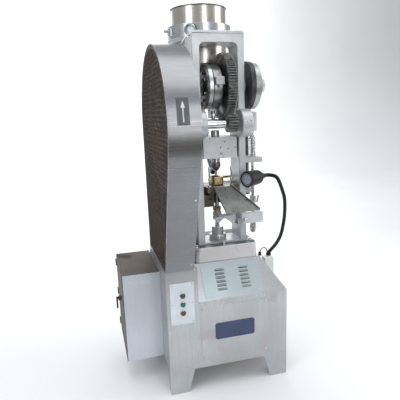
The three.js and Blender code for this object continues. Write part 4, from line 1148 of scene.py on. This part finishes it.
def main_shaft():
    y, z = SHAFT
    profile = [
        (0, 168), (35, 168), (36, 169), (36, 180), (35, 181), (25, 181), (25, 558), (24, 559),
        (0, 559),
    ]
    piece(
        turned("x", profile, SHAFT), "crank_shaft", "main_shaft", shaft_steel,
        ["main_shaft"],
    )

    face = [
        (SHAFT_BORE, 250), (39, 250), (40, 251), (40, 261), (43, 262), (89, 262), (91, 260),
        (91, 253), (92, 252),
    ]
    rim = [
        (101, 252), (103, 254), (103, 259), (101.6, 260), (101.6, 263), (103, 264), (103, 282),
        (101, 284),
    ]
    disc = turned("x", [*face, *rim, (SHAFT_BORE, 284), (SHAFT_BORE, 250)], SHAFT, 128)
    disc = cut(disc, bar("y", y - 108, y - 90, 3.2, (272, z - 4), steps=24))
    piece(disc, "flange_casting", "main_shaft", dark_iron, ["flange_disc"])
    bolts = []
    for place in ring_of(6, 62, SHAFT, math.pi / 6):
        bolts += [hexagon("x", 252.5, 262.5, 8, place), bar("x", 250.5, 262, 4.2, place, 0.6, 24)]
    piece(merge(*bolts), "flange_bolts", "main_shaft", ground_steel)
    band_ring = washer("x", 264.5, 283, 101, 103.6, SHAFT, 0.8, 128)
    piece(band_ring, "flange_rim", "main_shaft", rim_iron)
    dab = turned("x", [(0, 257), (9, 257), (7, 261.5), (0, 262.8)][::-1], (y - 42, z - 78), 24)
    piece(dab, "paint_dab", "main_shaft", red_paint)

    wheel = cut(bar("x", 284.3, 337, 82, (y + THROW, z), 1, 128), bar("x", 280, 345, SHAFT_BORE, SHAFT))
    piece(wheel, "eccentric_wheel", "main_shaft", dark_iron, ["eccentric"])

    line = math.atan2(PINION[1] - z, PINION[0] - y)
    blank = prism("x", gear_outline(75, line, SHAFT), 341, 381)
    recess = [(48, -7), (132, -7), (132, 5), (128, 9), (52, 9), (48, 5), (48, -7)]
    left = turned("x", [(r, 344 + a) for r, a in recess], SHAFT)
    right = turned("x", [(r, 378 - a) for r, a in recess], SHAFT)
    gear = cut(blank, left, right, bar("x", 335, 390, SHAFT_BORE, SHAFT))
    piece(gear, "gear_wheel", "main_shaft", gear_iron, ["big_gear"], edge=0.7)

    feeder_cam = prism(
        "x", cam_outline(FEEDER_CAM_R, FEEDER_CAM_LIFT, 3 * math.pi / 4, SHAFT), *FEEDER_CAM_X,
    )
    feeder_cam = cut(feeder_cam, bar("x", 450, 495, SHAFT_BORE, SHAFT))
    piece(feeder_cam, "feeder_cam_plate", "main_shaft", dark_iron, ["feeder_cam"], edge=1.2)
    lift_cam = prism("x", cam_outline(LIFT_CAM_R, LIFT_CAM_LIFT, math.pi / 4, SHAFT), *LIFT_CAM_X)
    lift_cam = bevel(lift_cam, 2.0, 3)
    lift_cam = cut(lift_cam, bar("x", 470, 550, SHAFT_BORE, SHAFT))
    cone = [
        (SHAFT_BORE, 511), (104, 511), (104, 513.5), (100, 517), (52, 542), (47, 544.6), (46, 545),
        (SHAFT_BORE, 545), (SHAFT_BORE, 511),
    ]
    lift_cam = merge(lift_cam, turned("x", cone, SHAFT, 128))
    piece(lift_cam, "lift_cam_plate", "main_shaft", cam_iron, ["lift_cam"])
    nut = cut(hexagon("x", 545.3, 563, 33.5, SHAFT, 2), bar("x", 540, 570, SHAFT_BORE, SHAFT))
    piece(nut, "end_nut", "main_shaft", ground_steel, ["shaft_end_nut"])


main_shaft()


# ---------- strap rod, ram and punches ----------
def strap_rod():
    y, z = SHAFT[0] + THROW, SHAFT[1]
    left, right = RAM[0] - 24.5, RAM[0] + 23.5
    hoop = [(82.4, left + 1), (98, left + 1), (103, left + 6), (103, right - 4), (99, right), (82.4, right)]
    hoop.append(hoop[0])
    whole = turned("x", hoop, (y, z), 128)
    parts = [
        box(left + 3, right - 1, y - 20, y + 20, z - 112, z - 98),
        box(left + 3, left + 12, y - 17, y + 17, z - 146, z - 104),
        box(right - 10, right - 1, y - 17, y + 17, z - 146, z - 104),
    ]
    whole = merge(whole, *[bevel(part, 1.5, 2) for part in parts])
    piece(whole, "strap_casting", "strap_rod", strap_iron, ["eccentric_strap"])
    lug = bevel(box(left + 7, 336, y - 123, y - 97, z + 5, z + 41), 2.5, 3)
    bolt = [
        hexagon("z", z - 8.5, z + 5.5, 11, (318, y - 110)),
        bar("z", z + 40, z + 49, 6, (318, y - 110), 1, 32),
    ]
    piece(merge(lug, *bolt), "strap_lug", "strap_rod", block_paint)
    screw = bar("z", z - 163, z - 112.3, 9, (RAM[0], y), 1, 48)
    nut = hexagon("z", z - 136, z - 124, 13, (RAM[0], y))
    piece(merge(screw, nut), "rod_screw", "strap_rod", ground_steel, ["strap_rod_screw"])


def punches():
    low, high = span("ram")[2]
    profile = [(0, low), (21, low), (21, high - 3), (18, high), (0, high)]
    piece(turned("z", profile, RAM), "ram_bar", "ram", ground_steel, ["ram"])
    low, high = span("upper_punch_nut")[2]
    profile = [
        (0, low), (9, low), (11, low + 1), (22.5, low + 18), (23.5, low + 21), (23.5, high - 8),
        (22.7, high - 7),
    ]
    profile += [(22.7, high - 5), (23.5, high - 4), (23.5, high - 1), (22.5, high), (0, high)]
    piece(turned("z", profile, RAM), "punch_nut", "ram", tinted_steel, ["upper_punch_nut"])
    low, high = span("upper_punch")[2]
    tip = [(0, low + 0.6), (5, low), (6, low + 0.4), (6, high), (0, high)]
    piece(turned("z", tip, RAM, 48), "punch", "ram", ground_steel, ["upper_punch"])

    low, high = span("lower_punch")[2]
    stem = [
        (0, low), (10, low), (11, low + 1), (11, 812), (13, 814), (13, 819), (22, 819), (23, 820),
        (23, 837), (22, 838),
    ]
    stem += [
        (17, 838), (17, 842), (19, 842), (20, 843), (20, 861), (19, 862), (11, 862), (11, 904),
        (10, 905), (8, 905),
    ]
    stem += [(8, 927), (6, 928), (6, high - 0.4), (5, high), (0, high - 0.6)]
    piece(
        turned("z", stem, RAM), "lower_punch_stem", "lower_punch", ground_steel,
        ["lower_punch"],
    )
    collar = washer("z", 842.5, 861.5, 17, 20.6, RAM, 1.2)
    piece(collar, "brass_collar", "lower_punch", brass)

    low = span("punch_base_nut")[2][0]
    base = [
        (16, low), (42, low), (43, low + 1), (43, 713), (41, 716), (39, 720), (38, 722),
        (30.5, 722), (30, 724),
    ]
    base += [(30, 757), (28, 760), (11.4, 760), (11.4, 722), (16, 722), (16, low)]
    base_nut = turned("z", base, RAM)
    base_nut = cut(base_nut, bar("y", RAM[1] - 36, RAM[1] - 22, 3.4, (RAM[0] - 8, 741), steps=24))
    piece(base_nut, "base_nut", "machine", nut_steel, ["punch_base_nut"])
    pinion_teeth = gear_outline(
        19, math.atan2(PINION[1] - SHAFT[1], PINION[0] - SHAFT[0]) + math.pi * 20 / 19, PINION,
    )
    wheel = cut(prism("x", pinion_teeth, 346, 396), bar("x", 340, 400, 17.3, PINION))
    piece(wheel, "pinion_wheel", "pinion_shaft", gear_iron, ["pinion"], edge=0.6)
    dabs = []
    for k, place in enumerate(ring_of(9, 36.5, PINION, 0.2)):
        x = 383 + (k * 5) % 7
        dabs.append(
            turned("x", [(0, x), (2.6, x + 1), (3.2, x + 3), (1.6, x + 5.5), (0, x + 6)], place, 12)
        )
    piece(merge(*dabs), "grease_dabs", "pinion_shaft", grease)


strap_rod()
punches()


# ---------- ejector ----------
def ejector():
    x, y = ROD
    rod = [
        bar("z", 706, 1226, 8, ROD, 1, 48),
        bar("z", 824, 836, 14, ROD, 1, 48),
        bar("z", 1186, 1196, 20, ROD, 1, 48),
        hexagon("z", 1196, 1206, 13, ROD),
        turned("z", [(0, 856), (12, 856), (13, 857), (17, 898), (16, 900), (0, 900)], ROD, 48),
        bevel(box(x + 10, x + 22, y - 6, y + 6, 866, 872), 0.8, 2),
        bevel(
            prism("y", [(x + 17, 868), (x + 24, 862), (x + 34, 900), (x + 27, 902)], y - 5, y + 5),
            1.2, 2,
        ),
        hexagon("z", 742, 764, 17, ROD, 1.4),
        bar("z", 728, 743, 18, ROD, 1.2, 48),
        hexagon("z", 712, 729, 15, ROD, 1.4),
    ]
    piece(merge(*rod), "ejector_rod_steel", "ejector_rod", ground_steel, ["lift_rod"])
    softened("lift_yoke", "ejector_rod", block_paint, 1.6)
    high_z = span("lift_yoke")[2][1]
    mark = bevel(box(x + 19.1, x + 20.3, y - 8, y + 8, high_z - 34, high_z - 12), 0.4, 2)
    piece(mark, "yoke_paint_mark", "ejector_rod", red_paint)
    centre = middle("lift_roller")[1:]
    x0, x1 = span("lift_roller")[0]
    profile = [(6.4, x0), (16.5, x0), (18, x0 + 1.5), (18, x1 - 1.5), (16.5, x1), (6.4, x1), (6.4, x0)]
    piece(
        turned("x", profile, centre, 64), "cam_roller_ring", "cam_roller", ground_steel,
        ["lift_roller"],
    )

    wire, turns, per_turn = 2.1, 11, 28
    low, high = SPRING_Z[0] + wire + 0.2, SPRING_Z[1] - wire - 0.2
    route = []
    for k in range(turns * per_turn + 1):
        share = k / (turns * per_turn)
        angle = 2 * math.pi * turns * share
        route.append((x + 17.1 * math.cos(angle), y + 17.1 * math.sin(angle), low + (high - low) * share))
    coil = sweep(route, lambda i: circle(wire, 8))
    piece(coil, "spring_coil", "machine", ground_steel, ["lift_spring"])
    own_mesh(coil)

    px, pz = LEVER
    jaw = [
        (-123, 15), (-133, 7), (-133, -7), (-123, -15), (-110, -12),
        (-92, 2), (-72, -4), (-56, -22), (-44, -26),
    ]
    claw = spline_outline(jaw, 4)
    claw += [(-30, -14), (-30, 22)]
    claw += spline_outline([(-60, 16), (-85, 12), (-104, 14)], 4)
    outline = [(px + u, pz + v) for u, v in claw]
    cheeks = [bevel(prism("y", outline, y + a, y + a + 10), 1.2, 2) for a in (-30, 20)]
    hub = [
        bar("y", y - 15, y + 15, 18, LEVER, 1, 64),
        bevel(box(px - 50, px + 15, y - 14, y + 14, pz - 9, pz + 9), 1, 2),
        bevel(box(px - 50, px - 30, y - 25, y + 25, pz - 12, pz + 12), 1, 2),
    ]
    fork = [bevel(box(px + 8, px + 92, y + a, y + a + 4, pz - 11, pz + 12), 1, 2) for a in (-15, 11)]
    drilled = []
    for part in (*cheeks, *hub, *fork):
        pivot = bar("y", y - 40, y + 40, 8.4, LEVER)
        pin = bar("y", y - 40, y + 40, 4, (px - 119, pz))
        drilled.append(cut(part, pivot, pin))
    lever = merge(*drilled)
    piece(lever, "lever_casting", "ejector_lever", block_paint, ["ejector_lever"])
    bolt = [dome("y", y - 87, 11, LEVER), dome("y", y - 79, 5.5, (px - 10, pz - 10))]
    piece(merge(*bolt), "lever_pin_heads", "machine", ground_steel)


def spline_outline(knots, per_stretch):
    return [(p[0], p[1]) for p in spline([(u, v, 0) for u, v in knots], per_stretch)]


ejector()


# ---------- feeder ----------
def feeder():
    x, y = FEEDER
    low = span("feeder_shaft")[2][0]
    profile = [
        (0, low), (12, low), (13, low + 1), (13, 906), (12, 907), (9, 907), (9, 930.4), (13, 930.4),
        (14, 931.4),
    ]
    profile += [
        (14, 941), (13, 942), (9, 942), (9, 984), (16, 984), (17, 985), (17, 999), (16, 1000),
        (9, 1000),
    ]
    profile += [(9, 1318), (14, 1318), (15, 1319), (15, 1331), (14, 1332), (0, 1332)]
    shaft = turned("z", profile, FEEDER, 64)
    crank = sweep([(x, y, 1324), (x - 37, y + 61, 1324)], lambda i: rounded(-6, 6, -9, 9, 2, 3))
    pin = bar("z", 1317, 1452, 8, (x - 37, y + 61), 1, 48)
    piece(merge(shaft, crank, pin), "feeder_rod", "feeder", gear_iron, ["feeder_shaft"])
    softened("feed_shoe", "feeder", brass, 1.6)


feeder()


# ---------- hopper ----------
def hopper():
    (_, _), (_, _), (low, top) = span("hopper")
    cone_top = 1560
    roll = [
        (140.4 + 3.6 * math.cos(k * math.pi / 6), top - 3.7 + 3.6 * math.sin(k * math.pi / 6)) for k in range(12)
    ]
    piece(turned("z", [*roll, roll[0]], HOPPER, 144), "hopper_rim", "machine", gear_iron)
    wall = [(28, low), (30, low), (30, low + 12), (138, cone_top - 3), (140, cone_top + 2), (140, top - 8)]
    wall += [
        (139.5, top - 3), (138.5, top - 3), (138, top - 4), (138, cone_top + 2),
        (136, cone_top - 2), (28, low + 13), (28, low),
    ]
    piece(
        turned("z", wall, HOPPER, 144), "hopper_bin", "machine", mirror_steel,
        ["hopper"],
    )

    (_, _), (_, _), (low, top) = span("hopper_collar")
    collar = [
        (140.3, low), (161.5, low), (163, low + 1.5), (163, top - 1), (162.4, top), (161, top),
        (160.5, top - 1),
    ]
    collar += [(160.5, low + 3.5), (159.5, low + 2.5), (140.3, low + 2.5), (140.3, low)]
    piece(
        turned("z", collar, HOPPER, 144), "collar_ring", "machine", collar_steel,
        ["hopper_collar"],
    )

    plate_low, plate_top = span("hopper_bracket")[2][0], low - 0.3
    bracket = fuse(
        bevel(box(232, 440, 155, 330, plate_low, plate_top), 1.2, 2),
        bar("z", plate_low, plate_top, 160, HOPPER, 1, 144),
    )
    bracket = cut(bracket, bar("z", plate_low - 5, plate_top + 5, 140.6, HOPPER, steps=144))
    nuts = [hexagon("z", plate_top - 1, plate_top + 7.5, 9, (x, 185)) for x in (250, 420)]
    piece(
        merge(bracket, *nuts), "bracket_plate", "machine", frame_paint,
        ["hopper_bracket"],
    )

    port = facing(-118)
    ring = [
        (19, 163.3), (31, 163.3), (31, 169), (29.5, 172), (23, 172), (21.5, 170), (21.5, 166),
        (19, 166), (19, 163.3),
    ]
    piece(
        port(turned("x", ring, (0, 0), 64)), "port_ring", "machine", dark_iron,
        ["sight_port"],
    )
    bezel = [(15, 166), (26, 171), (26.5, 173), (25, 174.4), (18, 172.4), (15, 168), (15, 166)]
    piece(port(turned("x", bezel, (0, 0), 64)), "port_bezel", "machine", ground_steel)
    glass = port(turned("x", [(0, 163.3), (20, 163.3), (20, 167), (0, 168)], (0, 0), 48))
    piece(glass, "port_glass", "machine", lens_white)
    catch = facing(-160)
    parts = [
        bevel(box(163.6, 176, -12, 12, -18, 18), 1.4, 2),
        bar("x", 174, 203, 5, (0, 4), 1.2, 32),
        turned("x", [(0, 194), (7, 194), (9, 197), (9, 202), (7, 204), (0, 204)], (0, 4), 32),
        bar("z", -14, 12, 4.2, (186, 0), 0.8, 24),
    ]
    piece(catch(merge(*parts)), "toggle_catch", "machine", ground_steel, ["hopper_clamp"])

    route = [
        (312, 440, 1439), (312, 440, 1380), (312, 400, 1290), (312, 345, 1190), (312, 318, 1110),
        (312, 268, 1055),
    ]
    route = spline([*route, (312, 238, 1030)], 10)
    tube = sweep(route, lambda i: circle(17, 32))
    tube = cut(
        tube,
        sweep(
            [route[0] + (route[0] - route[1]), *route, 2 * route[-1] - route[-2]],
            lambda i: circle(15, 32),
        ),
    )
    piece(tube, "powder_tube", "machine", collar_steel, ["feed_tube"])

    knots = [
        (232, 292, 1695), (210, 283, 1682), (188, 279, 1656), (166, 278, 1620), (146, 278, 1572),
        (140, 278, 1500),
    ]
    drain = sweep(spline(knots, 8), lambda i: circle(3.2, 16))
    piece(drain, "drain_pipe", "machine", ground_steel)


def facing(degrees):
    """A move that puts a solid, made along +X about the collar's middle, round to face outwards."""
    centre = CORNER + Vector((*HOPPER, 1712.5)) * MM
    turn = Matrix.Translation(centre) @ Matrix.Rotation(math.radians(degrees), 4, "Z")

    def move(obj):
        obj.data.transform(turn @ Matrix.Translation(-CORNER))
        return obj

    return move


hopper()


# ---------- work lamp ----------
def lamp():
    x, y = 578, 170
    foot_z = 582
    softened("lamp_socket", "machine", socket_paint, 2.0)
    knots = [(0, 0, 4), (2, 0, 16), (20, 0, 34), (48, -2, 66), (70, -4, 112), (84, -6, 183), (88, -7, 240)]
    knots += [(85, -9, 296), (73, -12, 336), (50, -15, 393), (30, -20, 416), (8, -19, 423.5)]
    knots += [(-14, -23.5, 427), (-42.2, -39.2, 428)]
    line = spline([(x + a, y + b, foot_z + c) for a, b, c in knots], 40)
    ribs = sweep(line, lambda i: circle(9.1 + 0.5 * math.cos(i * math.pi / 1.5), 20))
    foot = turned(
        "z",
        [
            (0, foot_z), (12, foot_z), (13, foot_z + 1), (13, foot_z + 10), (11, foot_z + 14),
            (0, foot_z + 14),
        ],
        (x, y), 48,
    )
    piece(merge(ribs, foot), "neck_hose", "lamp_arm", neck_vinyl, ["gooseneck"], limit=60)
    shell = [
        (0, 4), (27, 4), (30, 2), (32, -1), (33, -3), (36, -3), (37.4, -1), (38, 6), (37.6, 20),
        (36, 60), (34.5, 82),
    ]
    shell += [(33, 88), (26, 101), (17, 114), (14, 120), (13, 134), (0, 134)]
    turn = Matrix.Rotation(math.atan2(82, 138), 4, "Z")
    centre = Matrix.Translation(CORNER + Vector((x - 158, y - 108, foot_z + 428)) * MM)

    def aim(obj):
        obj.data.transform(centre @ turn @ Matrix.Translation(-CORNER))
        return obj

    piece(
        aim(turned("x", shell, (0, 0), 96)), "lamp_shell", "lamp_arm", black_plastic,
        ["lamp_head"],
    )
    rim = [(22, 3.5), (22, 0.6), (24, -0.6), (30, -0.6), (31.4, 1), (30, 3.6), (22, 3.5)]
    piece(aim(turned("x", rim, (0, 0), 96)), "lens_rim", "lamp_arm", lens_ring)
    piece(
        aim(turned("x", [(0, 4), (22.4, 4), (22.4, 1.4), (0, 0.6)], (0, 0), 64)), "lens_disc",
        "lamp_arm", lens_white,
    )
    lights = [(0, 0), *ring_of(6, 8, (0, 0)), *ring_of(11, 16, (0, 0))]
    beads = [
        turned("x", [(0, 2), (2.6, 2), (2.6, 0.2), (1.6, -0.8), (0, -1.1)], place, 16) for place in lights
    ]
    piece(aim(merge(*beads)), "lens_leds", "lamp_arm", led_blue)

    gland_x, gland_y = 505, 113
    gland = [(0, 609), (9, 609), (9, 613), (7.5, 614), (7.5, 624), (5.5, 627), (0, 627)]
    piece(
        turned("z", gland, (gland_x, gland_y), 32), "cable_gland", "machine", black_plastic,
    )
    knots = [
        (gland_x, gland_y, 624), (510, 114, 634), (528, 128, 640), (552, 146, 630), (566, 160, 606),
        (570, 166, 590),
    ]
    lead = sweep(spline(knots, 8), lambda i: circle(2.6, 12))
    piece(lead, "lamp_lead", "machine", neck_vinyl)


lamp()
